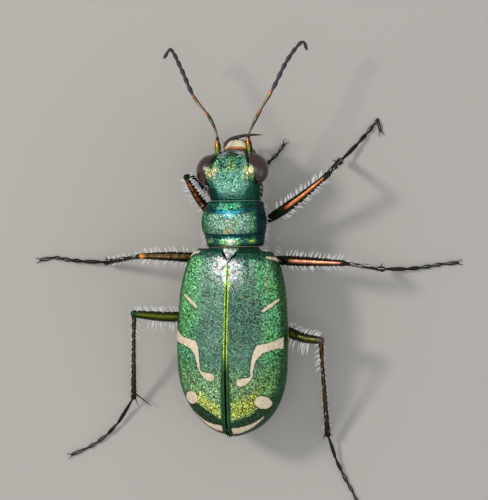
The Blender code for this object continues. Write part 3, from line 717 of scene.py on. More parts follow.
def elytron_rows():
    """Rows of points of the left wing case, from base to tip, each from the seam to the outer edge."""
    s = np.linspace(0, 1, 270)
    y = ((LENGTH - 0.015) * (0.35 * s + 0.65 * (1 - (1 - s) ** 1.7)))[:, None]
    wide, edge = elytra_width(y), elytra_edge(y)
    top = elytra_top(y) - 0.16 * fall(y, 0, 0.3) - 0.55 * clamp((y - 8.0) / 0.6) ** 2
    slim = np.clip(wide / 0.9, 0.04, 1)
    near = np.minimum(seam_gap(y) + np.clip(0.48 - y, 0, None) * 0.88, 0.2 * wide)
    crown = 2.5 - 0.4 * step(y, 5.5, 8.0)
    first = np.arcsin(clamp((near + 0.30 * slim) / wide) ** (crown / 2))
    swing = first + (math.pi / 2 - first) * np.linspace(0, 1, 108)
    x = np.concatenate([near + SEAM * slim, wide * np.sin(swing) ** (2 / crown), wide + LIP[:, 0] * slim], 1)
    z = edge + (top - edge) * (1 - clamp(np.abs(x) / wide) ** crown) ** (1 / crown)
    depth = (x - near) / slim
    z += slim * (0.026 * bell(depth - 0.03, 0.024) + 0.012 * step(y, 5.0, 6.6) * bell(depth - 0.14, 0.1))
    z[:, 0] -= 0.26 * slim[:, 0]
    z[:, 1] -= 0.05
    z[:, -len(LIP):] = edge + LIP[:, 1] * clamp(slim * 1.6)
    rows = np.stack([x, y + 0 * x, z], -1)

    relief = 0.11 * blob(x - 1.5, 0.34, y - 0.66, 0.5) - 0.07 * blob(x - 0.98, 0.22, y - 0.5, 0.42)
    relief += 0.012 * ripple(rows, 0.9, 3) + 0.004 * ripple(rows, 0.3, 4)
    for k in range(13):
        relief -= 0.022 * blob(x - 0.52 - 0.05 * math.sin(1.7 * k), 0.085, y - 0.85 - 0.47 * k, 0.085)
    relief[:, :5] *= 0.1
    relief[:, -len(LIP) - 1:] = 0
    rows = raised(rows, relief, closed=False)
    return np.concatenate([rows[:1] + (0, dy, dz) for dy, dz in BASE] + [rows])


def elytron_mark(x, y, wide, seam, left):
    """0.5 plus the distance from the markings, which lie a little differently on the right."""
    right = 1 - left
    in_band = step(y, 3.2, 3.7)
    in_stem = between(y, 4.7, 5.0, 5.5, 5.72)
    across = 0.24 - 0.24 * in_band - 0.05 * in_stem - 0.05 * step(y, 6.2, 6.5)
    along = (0.06 + 0.08 * between(y, 5.5, 5.75, 6.2, 6.5) + 0.06 * fall(y, 0.8, 1.4)
             + (0.01 + 0.07 * step(x, 2.25, 2.55)) * in_band)
    clear_of_rim = x - wide + 0.07 - 9 * np.maximum(left, 1 - in_band * fall(y, 4.7, 4.9))
    clear = np.maximum(0.2 * step(y, 7.4, 7.6) - seam, clear_of_rim)
    return clamp(0.5 + np.maximum(marking(x - right * across, y - right * along), clear))


def elytron_skin(rows, left):
    """Colour and look of a wing case; left is 1 for the left one and 0 for the right one."""
    right = 1 - left
    x, y, _ = parts_of(rows)
    wide = elytra_width(np.clip(y, 0.02, None))
    share, seam = x / wide, x - seam_gap(y)

    # The seam: its gap, which is painted dark as shade where it has opened, its bead and the smooth band
    # and dark core towards the tip
    pit = fall(seam, 0.002, 0.014)
    bead = between(seam, 0.004, 0.016, 0.056, 0.08) * step(y, 0.45, 0.7)
    late, opened = step(y, 4.6, 5.8), step(y, 1.2, 2.2)
    broad = 0.06 + 0.12 * step(y, 4.4, 6.2)
    smooth = fall(seam, broad, broad + 0.05) * step(y, 3.8, 5.4)
    core = fall(seam, 0.01, 0.05) * step(y, 4.6, 5.6)
    seam_light = bell(seam / 0.14, 1) * between(y, 0.5, 0.7, 1.3, 2.0)

    # Zones of the back
    patchy, shining = clamp(0.5 + 0.8 * ripple(rows, 0.35, 71)), clamp(0.7 + 0.7 * ripple(rows, 0.18, 73))
    lateral = step(share, 0.55 - 0.15 * left, 0.84)
    # Darker green of the steep outer slope: painted shade
    flank = step(x, wide - 0.30, wide - 0.10)
    # Painted shade on the front slope of the base, under the pronotum's rear; it reaches further back on the
    # right
    base = fall(y, 0.07 + 0.10 * right, 0.14 + 0.10 * right)
    # Painted highlight over the front of the wing cases by the seam, with silvery glints in it
    front_highlight = bell(seam / 0.74, 1) * fall(y, 0.7, 1.9) * step(y, 0.0, 0.3) * (0.55 + 0.45 * patchy)
    # Painted shade over the middle of each disc, twice as strong on the right wing case
    disc_shade = blob(x - 0.95, 0.75, y - 3.1, 1.1) * (0.5 - 0.25 * left)
    # Painted highlights along the shoulder ridges
    shoulder_highlight = right * bell(x - 1.52, 0.17) * between(y, 0.25, 0.5, 1.3, 2.0)
    shoulder_highlight += left * 0.6 * bell(x - 1.38, 0.06) * fall(y, 0.5, 0.9)
    brink = 7.95 - (0.62 * left + 0.40 * right) * x - 0.6 * right * np.clip(x - 1.15, 0, None)
    reach = 0.30 * right
    gold = between(y, brink - 0.72 - reach, brink - 0.36 - reach, brink - reach * 0.5, brink + 0.07)
    gold *= between(x, 0.18, 0.34, 1.35, 1.6) * clamp(0.45 + 1.5 * ripple(rows, 0.06, 72))
    lively = between(y, 5.0, 6.4, brink, brink + 0.1) * (1 - 0.6 * step(share, 0.7, 0.95))
    # Dark band between the gold and the tip: painted shade of the slope down to the tip
    dusk = between(y, brink, brink + 0.12, 8.5, 8.56)
    tip = step(y, 8.46, 8.56)
    tint = paint(
        (74, 106, 90),
        ((98, 130, 110), 0.5 * bell(share - 0.3, 0.25) * fall(y, 2.2, 4.5)),
        # Painted shade on the front of the right wing case's inner half, painted light on the left one's disc
        ((52, 78, 64), 0.45 * right * fall(share, 0.5, 0.7) * fall(y, 4.2, 5.2)),
        ((104, 134, 116), left * 0.6 * blob(x - 0.6, 0.5, y - 3.4, 1.6)),
        ((84, 120, 102), 0.5 * step(y, 3.8, 4.8)),
        ((40, 68, 60), disc_shade),
        ((86, 156, 96), lateral),
        # Painted light on the front of the left margin
        ((112, 186, 122), 0.6 * left * lateral * fall(y, 2.5, 4.0)),
        ((74, 124, 70), 0.75 * lateral * step(y, 4.6, 5.6)),
        # Painted shade on the rear of the right margin
        ((54, 92, 50), 0.5 * right * lateral * step(y, 4.2, 5.2)),
        ((70, 176, 66), 0.65 * shoulder_highlight * shining),
        # Painted highlight: pinkish streak beside the right shoulder ridge
        ((200, 170, 130), 0.5 * right * blob(x - 1.82, 0.06, y - 1.2, 0.5)),
        ((132, 176, 114), 0.7 * lively * left),
        ((112, 144, 76), 0.75 * lively * right),
        ((216, 220, 218), 0.9 * front_highlight),
        ((226, 226, 190), 0.8 * seam_light),
        # Painted shade on the front slope outside the highlight, and more of it at the right base
        ((44, 90, 76), 0.7 * fall(y, 0.2, 0.5) * (1 - front_highlight)),
        ((24, 84, 72), 0.6 * right * blob(x - 0.95, 0.4, y - 0.35, 0.45)),
        ((226, 204, 30), 0.95 * gold),
        ((255, 236, 84), 0.55 * left * gold),
        # Painted shade before the tip
        ((34, 62, 36), 0.95 * dusk),
        ((46, 80, 50), smooth),
        ((20, 36, 26), 0.8 * core),
        # Painted shade on the steep outer slope
        ((34, 82, 46), flank),
        ((182, 230, 72), bead * (1 - late)),
        ((60, 110, 60), 0.6 * bead * late),
        # Painted shade in the opened gap
        ((10, 16, 10), pit * opened),
        ((150, 160, 110), pit * (1 - opened)),
        ((170, 178, 66), step(x, wide + 0.004, wide + 0.016) * between(y, 1.2, 2.6, 4.9, 5.4)),
        ((70, 66, 40), 0.6 * tip),
        # Painted shade on the base's front slope, teal; on the left only near the seam
        ((30, 96, 74), base * (1 - step(x, 1.5, 1.65) * left)))
    calm = clamp(smooth + 0.7 * flank + 0.5 * dusk + tip + 0.4 * base + pit) - 0.35 * flank * (1 - tip)
    sparks = np.clip(0.36 + 0.19 * np.maximum(gold, lively), 0, 0.55)
    sparks = np.where(front_highlight > 0.25, clamp(0.36 + 0.55 * front_highlight), sparks)
    grainy = 0.72 + 0.4 * step(np.maximum(share, step(y, 4.6, 6.0)), 0.5, 0.85)
    mark = elytron_mark(x, y, wide, seam, left)
    return tint, looks(sparks * (1 - calm), grainy * (1 - 0.7 * calm), mark)


def lagging(points):
    """Place of the right wing case, which reaches a little further back."""
    return hind(straight(points) + (0, 0.05, 0))


def elytra():
    for hand, side in SIDES:
        place, name = hind if side > 0 else lagging, f"elytron_{hand}_shell"
        rows = elytron_rows()
        piece = Piece(name, place)
        piece.grid(mirrored(rows, side), *elytron_skin(rows, float(side > 0)), closed=False)
        piece.make(ELYTRA, "elytra", f"elytron_{hand}", thick=0.07)
        spine = Piece(name + "_spine", place)
        z = float(elytra_top(8.5))
        line = mirrored([(0.075, 8.36, z - 0.18), (0.06, 8.5, z - 0.31), (0.045, 8.64, z - 0.40)], side)
        spine.tube(course(line, 8), np.linspace(0.06, 0.012, 8), (34, 62, 38), (0, 0.3, 1), sides=10)
        spine.make(LEG, "elytra")


# ---------------------------------------------------------------- pronotum

PRONOTUM = np.array([
    # share of the length, half width, underside, widest height, top
    (0.00, 1.20, 2.62, 2.86, 4.08), (0.03, 1.30, 2.46, 2.88, 4.20), (0.12, 1.36, 2.40, 3.00, 4.28),
    (0.20, 1.42, 2.40, 3.12, 4.32), (0.30, 1.49, 2.40, 3.22, 4.39), (0.42, 1.53, 2.40, 3.28, 4.43),
    (0.54, 1.53, 2.40, 3.30, 4.44), (0.66, 1.48, 2.40, 3.26, 4.41), (0.77, 1.41, 2.42, 3.16, 4.34),
    (0.84, 1.37, 2.44, 3.04, 4.30), (0.92, 1.34, 2.46, 2.94, 4.28), (0.97, 1.31, 2.52, 2.90, 4.23),
    (1.00, 1.20, 2.66, 2.90, 4.12)])
PRONOTUM_FRONT, PRONOTUM_REAR = -2.38, -0.26
# Place along the body, half width, top, radius and colour of each hem
HEMS = ((-0.24, 1.27, 4.21, 0.014, (150, 140, 116)), (-2.395, 1.18, 4.12, 0.012, (130, 172, 140)))


def pronotum():
    s = np.linspace(0, 1, 180)
    half, low, widest, top = curve(PRONOTUM[:, 0], PRONOTUM[:, 1:], s).T
    rows = rings(PRONOTUM_FRONT + s * (PRONOTUM_REAR - PRONOTUM_FRONT), half, low, widest, top, 2.5, 2.2, 240)
    x, y, z = parts_of(rows)
    ax = np.abs(x)
    upper = step(z, 3.3, 3.9)
    front = y + 1.88 + 0.10 * (x / 1.3) ** 2 - 0.05 * bell(x, 0.22)
    rear = y + 0.70 + 0.07 * (x / 1.3) ** 2 + 0.03 * bell(x, 0.2)
    front_groove = bell(front, 0.065) * upper * (1 - 0.75 * step(ax, 0.95, 1.3))
    rear_groove = bell(rear, 0.08) * upper * (1 - 0.5 * step(ax, 1.05, 1.35))
    disc = between(y, -1.86, -1.7, -0.9, -0.72) * step(z, 3.6, 3.9)
    relief = -0.10 * front_groove - 0.13 * rear_groove
    relief -= 0.030 * bell(x, 0.035) * disc + 0.03 * bell(x, 0.16) * disc
    relief += 0.05 * blob(ax - 0.62, 0.5, y + 1.3, 0.5) * disc
    relief += 0.045 * blob(ax - 0.98, 0.22, y + 0.5, 0.1) * upper
    relief += 0.05 * blob(x, 0.5, y + 0.42, 0.12) * upper + 0.02 * bell(z - 3.3, 0.05)
    relief += 0.03 * blob(x - 0.02, 0.13, front - 0.07, 0.06)
    relief += 0.007 * ripple(rows * (1, 2.2, 1), 0.2, 21) * disc + 0.008 * ripple(rows, 0.8, 22)
    rows = raised(rows, relief)

    collar, back = fall(front, -0.04, 0.02), step(rear, 0.02, 0.08)
    flank = np.maximum(fall(z, 3.55, 3.85), np.maximum(step(-x, 1.10, 1.30), 0.9 * step(x, 1.26, 1.42)))
    rim = step(ax, 0.85, 1.12)
    shining = clamp(0.65 + 0.8 * ripple(rows, 0.16, 23))
    tint = paint(
        (114, 148, 132),
        ((44, 114, 76), rim),
        ((150, 160, 118), 0.4 * bell(x, 0.35) * disc),
        ((16, 66, 58), collar),
        ((56, 158, 108), collar * fall(ax, 0.5, 0.68) * shining),
        ((24, 110, 92), 0.8 * collar * bell(y + 2.3, 0.09)),
        ((16, 84, 100), clamp(1.2 * front_groove)),
        # Painted highlights on the front groove: a cyan line, and a pale cyan and white spot in its middle
        ((84, 214, 236), shining * bell(front - 0.03, 0.1) * fall(ax, 0.55, 0.8)),
        ((120, 255, 255), clamp(1.3 * blob(x - 0.02, 0.22, front - 0.10, 0.12))),
        ((255, 255, 255), clamp(1.3 * blob(x - 0.02, 0.10, front - 0.07, 0.07))),
        ((214, 150, 64), 0.85 * blob(x - 0.02, 0.11, y + 0.93, 0.11)),
        ((16, 80, 74), back),
        ((134, 186, 112), back * fall(ax, 0.36, 0.58)),
        # Painted highlight: white middle of the rear collar
        ((214, 226, 200), 0.8 * back * bell(x, 0.17)),
        ((12, 70, 72), clamp(rear_groove * 1.4)),
        # Painted highlight: cyan line along the rear groove's edge
        ((90, 206, 206), 0.9 * bell(rear - 0.085, 0.03) * fall(ax, 0.4, 0.6)),
        ((156, 206, 84), back * blob(ax - 0.98, 0.13, y + 0.5, 0.08)),
        ((10, 53, 60), flank),
        ((12, 32, 30), fall(z, 2.8, 3.2)))
    calm = clamp(0.8 * rear_groove + 0.5 * front_groove + flank)
    bright = clamp(disc * (1 + 0.3 * rim) + collar * fall(ax, 0.5, 0.85) + back * fall(ax, 0.36, 0.58))
    # More painted glints in the rear collar's white highlight
    bright = bright + 2.0 * back * bell(x, 0.15)
    # Where the front groove's painted highlight lies, with fewer flecks and less grain
    highlight_spot = clamp(1.3 * blob(x - 0.02, 0.2, front - 0.09, 0.11))
    sparks = (0.34 + 0.2 * bright) * (1 - calm) * (1 - highlight_spot) * (1 - 0.85 * collar * step(ax, 0.52, 0.74))
    piece = Piece("pronotum_shell", fore)
    piece.grid(rows, tint, looks(sparks, (1 - 0.6 * calm) * (1 - 0.6 * highlight_spot)))
    for side in (-1, 1):
        hip = ellipsoid((side * 0.72, -1.28, 2.3), (0.42, 0.5, 0.52))
        tint = paint((40, 78, 50), ((110, 80, 50), bell(hip[..., 2] - 1.95, 0.2)))
        piece.grid(hip, tint, (0.1, 0.4, 1))
    piece.make(SHELL, "pronotum_cuticle", "pronotum")


def hems():
    """Pale bands that close the pronotum's front and rear."""
    hem = Piece("pronotum_hem", fore)
    for place, half, top, thick, colour in HEMS:
        loop = rings(np.array([place]), half, 2.7, 2.95, top, 2.5, 2.2, 120)[0]
        hem.tube(np.concatenate([loop[62:], loop[:59]]), thick, colour, (0, 0, 1), up=(0, 1, 0), sides=8)
    hem.make(SKIN, "pronotum_cuticle")


# ---------------------------------------------------------------- head

HEAD = np.array([
    # y, half width, underside, widest height, top, squareness of the top
    (-2.20, 0.98, 2.60, 2.92, 3.80, 2.2), (-2.38, 1.16, 2.46, 2.88, 3.97, 2.2),
    (-2.52, 1.22, 2.34, 2.86, 4.02, 2.2), (-2.75, 1.27, 2.22, 2.84, 4.06, 2.3),
    (-3.05, 1.27, 2.14, 2.84, 4.06, 2.8), (-3.32, 1.20, 2.12, 2.86, 4.03, 4.2),
    (-3.60, 1.17, 2.12, 2.86, 3.99, 6.4), (-3.84, 1.16, 2.14, 2.86, 3.96, 7.0),
    (-4.10, 1.08, 2.16, 2.85, 3.90, 6.0), (-4.32, 1.00, 2.19, 2.84, 3.80, 5.4),
    (-4.50, 0.92, 2.22, 2.80, 3.68, 4.2), (-4.65, 0.82, 2.26, 2.72, 3.46, 3.2),
    (-4.75, 0.70, 2.32, 2.64, 3.20, 2.6), (-4.82, 0.50, 2.42, 2.60, 2.88, 2.2)])
# Ridge of the left brow, over the inner edge of the eye
ORBIT = ((0.83, -4.58, 3.46), (0.95, -4.32, 3.79), (1.01, -3.98, 4.03), (1.03, -3.76, 4.08),
         (1.00, -3.50, 4.05), (0.97, -3.25, 3.96), (0.95, -3.06, 3.84))


def head():
    rear, length = -2.20, 2.62
    y = rear - length * np.linspace(0, 1, 200)
    table = curve(-HEAD[:, 0], HEAD[:, 1:], -y)
    rows = rings(y, *table.T, 2.3, 260)
    x, y, z = parts_of(rows)
    ax = np.abs(x)
    upper = step(z, 3.3, 3.7)
    beside = between(-y, 3.1, 3.5, 4.3, 4.62)
    rows[..., 2] += 0.21 * beside * upper * clamp(ax / table[:, :1]) ** 3
    hollow = (blob(x - 0.31, 0.19, y + 4.07, 0.2) + blob(x + 0.44, 0.19, y + 4.15, 0.2)) * upper
    relief = -0.07 * hollow - 0.03 * blob(x, 0.5, y + 3.55, 0.3) * upper
    relief += 0.03 * blob(x, 0.9, y + 3.05, 0.35) * upper
    relief -= 0.03 * bell(y + 4.62 + 0.14 * bell(x, 0.3), 0.03) * fall(ax, 0.6, 0.75) * upper
    relief -= 0.06 * blob(ax - 0.78, 0.1, y + 4.62, 0.1)
    lines = np.sin(2 * math.pi * (ax + 0.06 * np.sin(3 * y)) / 0.085) * step(ax, 0.4, 0.6)
    relief += 0.006 * lines * fall(ax, 1.05, 1.12) * between(-y, 3.3, 3.6, 4.4, 4.5) * upper
    cross_lines = np.sin(2 * math.pi * (y + 0.1 * x * x) / 0.1) * fall(ax, 0.7, 1.0)
    relief += 0.003 * cross_lines * fall(-y, 3.2, 3.5) * upper + 0.006 * ripple(rows, 0.5, 31)
    relief += 0.004 * ripple(rows, 0.16, 32) * upper
    rows = raised(rows, relief)

    face, neck = step(-y, 4.52, 4.64), step(y, -2.48, -2.40)
    bare = 0.98 - 0.36 * step(y, -3.4, -2.7)
    temple = clamp(fall(z, 3.5, 3.85) + step(ax, bare - 0.06, bare + 0.1) * step(y, -3.5, -3.25))
    crown = blob(x, 0.75, y + 3.0, 0.5)
    gilt = blob(ax - 0.88, 0.21, y + 3.70, 0.30) * clamp(0.8 + 0.6 * ripple(rows, 0.25, 33))
    tint = paint(
        (70, 134, 110),
        ((124, 176, 154), 0.7 * crown),
        ((78, 142, 92), 0.7 * step(-y, 3.6, 4.0) * (1 - face)),
        ((48, 108, 74), 0.8 * step(-y, 4.2, 4.45)),
        ((34, 84, 88), 0.8 * step(y, -2.90, -2.6)),
        ((255, 216, 150), 0.95 * gilt),
        ((150, 150, 70), 0.7 * blob(x, 0.05, y + 4.0, 0.24)),
        ((96, 150, 84), 0.6 * blob(x, 0.16, y + 4.15, 0.24)),
        ((18, 76, 86), 0.9 * clamp(hollow * 1.3)),
        # Paler front face, with painted light on its steep slope
        ((96, 134, 88), 0.8 * face),
        ((196, 186, 150), 0.85 * face * fall(ax, 0.3, 0.6)),
        ((17, 70, 56), temple),
        ((14, 50, 42), neck),
        ((24, 52, 36), fall(z, 2.6, 3.1)))
    calm = clamp(temple + neck)
    piece = Piece("head_capsule", nodding)
    piece.grid(rows, tint, looks((0.40 + 0.1 * crown + 0.3 * gilt) * (1 - calm), 1 - 0.6 * calm))
    chin = ellipsoid((0, -4.0, 2.24), (0.62, 0.55, 0.2), bend=lambda ball: -0.08 * bell(ball[..., 0], 0.06))
    piece.grid(chin, linear((44, 60, 40)), (0, 0.3, 1))
    piece.make(SHELL, "head_cuticle", "head")


def eyes():
    path, broad = course(ORBIT, 60), 0.165 * np.sin(np.linspace(0.5, 2.84, 60)) ** 0.7
    turn = np.linspace(0, 2 * math.pi, 65)
    loop = EYE + eye_turn(np.stack([-0.12 + 0 * turn, 0.71 * np.cos(turn), 0.58 * np.sin(turn)], 1))

    def brow(ridge):
        x, y, _ = parts_of(ridge.rows)
        outer = step(np.abs(x) - np.pad(path[:, 0], len(Limb.CAP), "edge")[:, None], 0.06, 0.13)
        return paint(
            (84, 128, 84),
            ((240, 212, 158), 0.9 * bell(y + 3.74, 0.24) * clamp(0.7 + ripple(ridge.rows, 0.2, 35))),
            ((40, 100, 72), step(y, -3.5, -3.3)),
            ((70, 110, 60), outer),
            # Painted highlights along the ridge's edge by the eye
            ((226, 246, 120), outer * bell(y + 3.95, 0.14)),
            ((206, 232, 40), 0.9 * outer * bell(y + 3.5, 0.07)))

    for hand, side in SIDES:
        ball = eye_points(side)
        tall = (ball[..., 2] - EYE[2]) / EYE_RADII[2]
        tint = paint((42, 20, 11), ((76, 40, 24), 0.5 * bell(tall - 0.6, 0.3)),
                     ((24, 16, 14), fall(tall, -0.9, -0.2)))
        globe = Piece(f"eye_{hand}_globe", nodding)
        globe.grid(ball, tint, (0, 0, 1))
        globe.make(LENS, "eye", f"eye_{hand}")
        socket = Piece(f"eye_{hand}_socket", nodding)
        socket.tube(mirrored(path, side), broad, brow, (0.5, 1, 1), flat=0.5, sides=28)
        socket.tube(mirrored(loop, side), 0.05, (26, 62, 44), (0.1, 0.4, 1), up=(1, 0, 0), sides=10,
                    blunt=False)
        socket.make(SHELL, "head_cuticle")


def labrum():
    root, half_width, length = -4.76, 0.51, 0.45
    across, s = np.linspace(-1, 1, 61), np.linspace(0, 1, 34)[:, None]
    tooth = 0.02 * bell(across, 0.09) - 0.012 * bell(np.abs(across) - 0.24, 0.09)
    reach = length * (1 - 0.42 * np.abs(across) ** 3.2) + tooth
    x = across * half_width * (1 - 0.04 * s - 0.10 * s ** 5)
    y = root - s * (reach + 0.04)
    upper = 2.92 - 0.30 * s - 0.14 * (x / 0.55) ** 2 - 0.05 * s ** 4
    half_thick = (0.10 - 0.03 * s) / 2
    centre, edge = upper - half_thick, clamp((1 - np.abs(across)) / 0.06) ** 0.5
    upper, lower = centre + half_thick * edge, centre - half_thick * edge
    rows = np.concatenate([np.stack([x, y, upper], -1), np.stack([x, y, lower], -1)[::-1]])
    share = np.concatenate([s, s[::-1]]) + 0 * rows[..., 0]
    tint = paint(
        (255, 242, 206),
        ((222, 118, 38), fall(share, 0.26, 0.46)),
        ((232, 170, 112), 0.5 * step(rows[..., 0], 0.3, 0.55)),
        ((232, 204, 160), 0.6 * step(share, 0.85, 1.0)),
        ((150, 96, 54), step(share, 0.97, 1.0)),
        ((170, 120, 72), 0.5 * bell(np.abs(across) - 1, 0.06)))
    piece = Piece("labrum_plate", nodding)
    piece.grid(rows, tint, closed=False)
    piece.make(IVORY, "labrum", "labrum")


# Points of each jaw, of which the right one's are mirrored
JAWS = {
    "left": ((0.40, -4.35, 2.35), (0.54, -4.75, 2.3), (0.55, -5.02, 2.25), (0.36, -5.27, 2.18),
             (-0.10, -5.42, 2.1), (-0.62, -5.47, 2.05), (-1.16, -5.45, 2.02)),
    "right": ((0.34, -4.35, 2.2), (0.39, -4.76, 1.92), (0.37, -4.98, 1.72), (0.20, -5.13, 1.62),
              (-0.18, -5.22, 1.58), (-0.54, -5.22, 1.56), (-0.86, -5.16, 1.56)),
}
JAW_THICKNESS = profile((0, 0.2, 0.36, 0.52, 0.75, 0.92, 1),
                        (0.14, 0.125, 0.11, 0.088, 0.06, 0.036, 0.014), 52)
# Place along the jaw and length of each tooth
TEETH = ((0.36, 0.26), (0.46, 0.22), (0.56, 0.18))


def jaw_tint(limb):
    # Painted highlight along the top of the jaw
    lit_crest = blob(limb.round - 1.9, 0.4, limb.share - 0.55, 0.25)
    return paint((11, 8, 6), ((92, 58, 36), 0.5 * lit_crest), ((44, 28, 22), step(limb.share, 0.9, 1)))


def mandibles():
    for hand, side in SIDES:
        path = course(mirrored(JAWS[hand], side), len(JAW_THICKNESS))
        jaw = Piece(f"mandible_{hand}_sickle", nodding)
        jaw.tube(path, JAW_THICKNESS, jaw_tint, flat=0.85, sides=20)
        for share, size in TEETH:
            root = path[int(share * (len(path) - 1))]
            tip = root + np.array([side * -0.3, 1.0, 0.0]) * size
            tooth = course([root, (root + tip) / 2 + (side * 0.03, 0, 0), tip], 9)
            jaw.tube(tooth, np.linspace(0.07, 0.012, 9), (28, 20, 18), sides=10)
        jaw.make(HORN, "mandible", f"mandible_{hand}")


DARK_PALP, PALE_PALP = (58, 66, 40), (168, 140, 96)
# Points of the outer and of the inner left palp, with length, radius and colour of each segment
PALPS = (
    (((0.62, -3.95, 2.2), (0.78, -4.2, 1.75), (0.66, -4.5, 1.3), (0.4, -4.8, 1.05)),
     ((0.32, 0.1, PALE_PALP), (0.62, 0.11, DARK_PALP), (0.34, 0.1, DARK_PALP), (0.4, 0.095, (40, 52, 36)))),
    (((0.16, -4.2, 2.15), (0.26, -4.55, 1.7), (0.3, -4.85, 1.35), (0.16, -5.1, 1.12)),
     ((0.3, 0.1, PALE_PALP), (0.62, 0.115, PALE_PALP), (0.34, 0.1, (44, 58, 38)))),
)


def palps(coat):
    swell = profile((0, 0.12, 0.85, 1), (0.496, 0.62, 1.0, 0.86), 12)
    for hand, side in SIDES:
        piece = Piece(f"palps_{hand}_pair", nodding)
        hairy = []
        for points, segments in PALPS:
            lengths, thick, tints = zip(*segments)
            paths = jointed(mirrored(points, side), lengths, 0.012, 400, 12)
            limbs = [piece.tube(path, girth * swell, tint, (0.05, 0.5, 1), up=(0.05, 0.02, 1), sides=12)
                     for path, girth, tint in zip(paths, thick, tints)]
            hairy.append(limbs[1])
        piece.make(LEG, "palp", f"palps_{hand}")
        for limb in hairy:
            fringe(coat, limb, (-1.6, -0.6), 0.1, 0.95, 0.09, 0.22, radius=0.012,
                   tile=(0.72, 0.80 + 0.02 * side))


# ---------------------------------------------------------------- feelers

ANTENNAE = {
    "right": ((-0.74, -4.64, 3.35), (-0.70, -5.40, 3.48), (-0.96, -5.98, 3.60), (-1.38, -6.70, 3.72),
              (-1.96, -7.63, 3.84), (-2.60, -8.95, 3.66), (-3.26, -9.80, 3.48), (-3.46, -9.46, 3.28)),
    "left": ((0.79, -4.55, 3.35), (0.79, -5.30, 3.48), (0.86, -5.68, 3.54), (1.07, -6.18, 3.64),
             (1.30, -6.56, 3.72), (1.87, -7.31, 3.84), (2.55, -8.70, 3.66), (3.03, -9.46, 3.48),
             (3.40, -9.09, 3.28)),
}
# Length and radius of each segment
SEGMENTS = ((0.62, 0.122), (0.2, 0.08), (1.25, 0.076), (1.06, 0.074), (0.48, 0.086), (0.45, 0.088),
            (0.43, 0.088), (0.41, 0.086), (0.40, 0.082), (0.38, 0.076), (0.42, 0.066))
METALS = ((196, 128, 30), (120, 66, 26), (134, 84, 44), (160, 98, 46))
# Painted glints along the lit top of the metallic segments: which have it, its colour and strength, its place
# and spread along them
GLINTS = (
    ((0,), (214, 236, 50), 0.95, 0.34, 0.24),
    ((0,), (244, 140, 30), 0.95, 0.8, 0.18),
    ((2,), (236, 190, 176), 0.9, 0.2, 0.2),
    ((2,), (120, 214, 150), 0.9, 0.62, 0.08),
    ((3,), (240, 208, 150), 0.8, 0.5, 0.26),
    ((1, 2, 3), (240, 96, 36), 0.95, 0.94, 0.09),
)
# Shares of the radius along the first segment, the other metallic ones and the dull ones
SEGMENT_SHAPES = [profile((0, 0.15, 0.88, 1), sizes, 16)
                  for sizes in ((0.8, 1.0, 0.95, 0.7), (0.55, 0.62, 1.0, 0.8), (0.7, 0.9, 1.0, 0.72))]


def metallic_tint(limb, k):
    off, first = limb.round - 1.7, k == 0
    lit_crest = bell(off, 0.5 if first else 0.42)
    glints = [(colour, strength * bell(limb.share - place, spread) * lit_crest)
              for segments, colour, strength, place, spread in GLINTS if k in segments]
    # Painted shade on the segment's sides, away from its lit top
    return paint(METALS[k], *glints, ((26, 18, 12), 0.95 * (1 - bell(off, 0.36 if first else 0.46))))


def dull_tint(limb, k):
    ends = clamp(step(limb.share, 0.84, 0.94) + fall(limb.share, 0.03, 0.1))
    # A painted highlight along the top of the segment; dark rings at its ends
    return paint((23, 22, 26), ((84, 90, 104), 0.5 * bell(limb.round - 1.7, 0.4) * (1 - 0.6 * step(k, 5, 8))),
                 ((14, 13, 14), ends))


def antennae(coat):
    lengths, thick = zip(*SEGMENTS)
    for hand, points in ANTENNAE.items():
        base, tip = Piece(f"antenna_{hand}_stem"), Piece(f"antenna_{hand}_whip")
        for k, path in enumerate(jointed(points, lengths, 0.015, 300, 16)):
            metallic = k < len(METALS)
            shape = SEGMENT_SHAPES[(k > 0) + (not metallic)]
            limb = Limb(path, thick[k] * shape, sides=14, up=(0.05, 0.02, 1))
            row = 0.02 + 0.03 * k + (0.4 if hand == "left" else 0)
            if metallic:
                base.grid(limb.rows, metallic_tint(limb, k), (0.15, 0.5, 1))
            else:
                tip.grid(limb.rows, dull_tint(limb, k))
                fringe(coat, limb, (0.4, 1.9, 3.4, 4.9), 0.1, 0.98, 0.1, 0.07, lean=1.0, radius=0.006,
                       colour=(150, 140, 124), tile=(0.76, row))
            fringe(coat, limb, (0.2, 2.6, 4.6), 0.86, 0.97, 0.12, 0.16, lean=0.7, radius=0.008,
                   colour=(90, 82, 70), tile=(0.5, row))
        socket = ellipsoid(straight(points[0]) + (0, 0.05, 0), (0.15, 0.13, 0.14), 20, 28)
        base.grid(socket, linear((38, 56, 38)), (0, 0.4, 1))
        base.make(ANTENNA, "antenna_base", f"antenna_{hand}_base")
        tip.make(DULL, "antenna_tip", f"antenna_{hand}_tip")


# ---------------------------------------------------------------- trunk

# Centre and radii of the middle and of the hind left hip
HIPS = (((0.85, 0.4, 2.1), (0.5, 0.5, 0.42)), ((0.8, 2.78, 2.1), (0.8, 0.44, 0.4)))


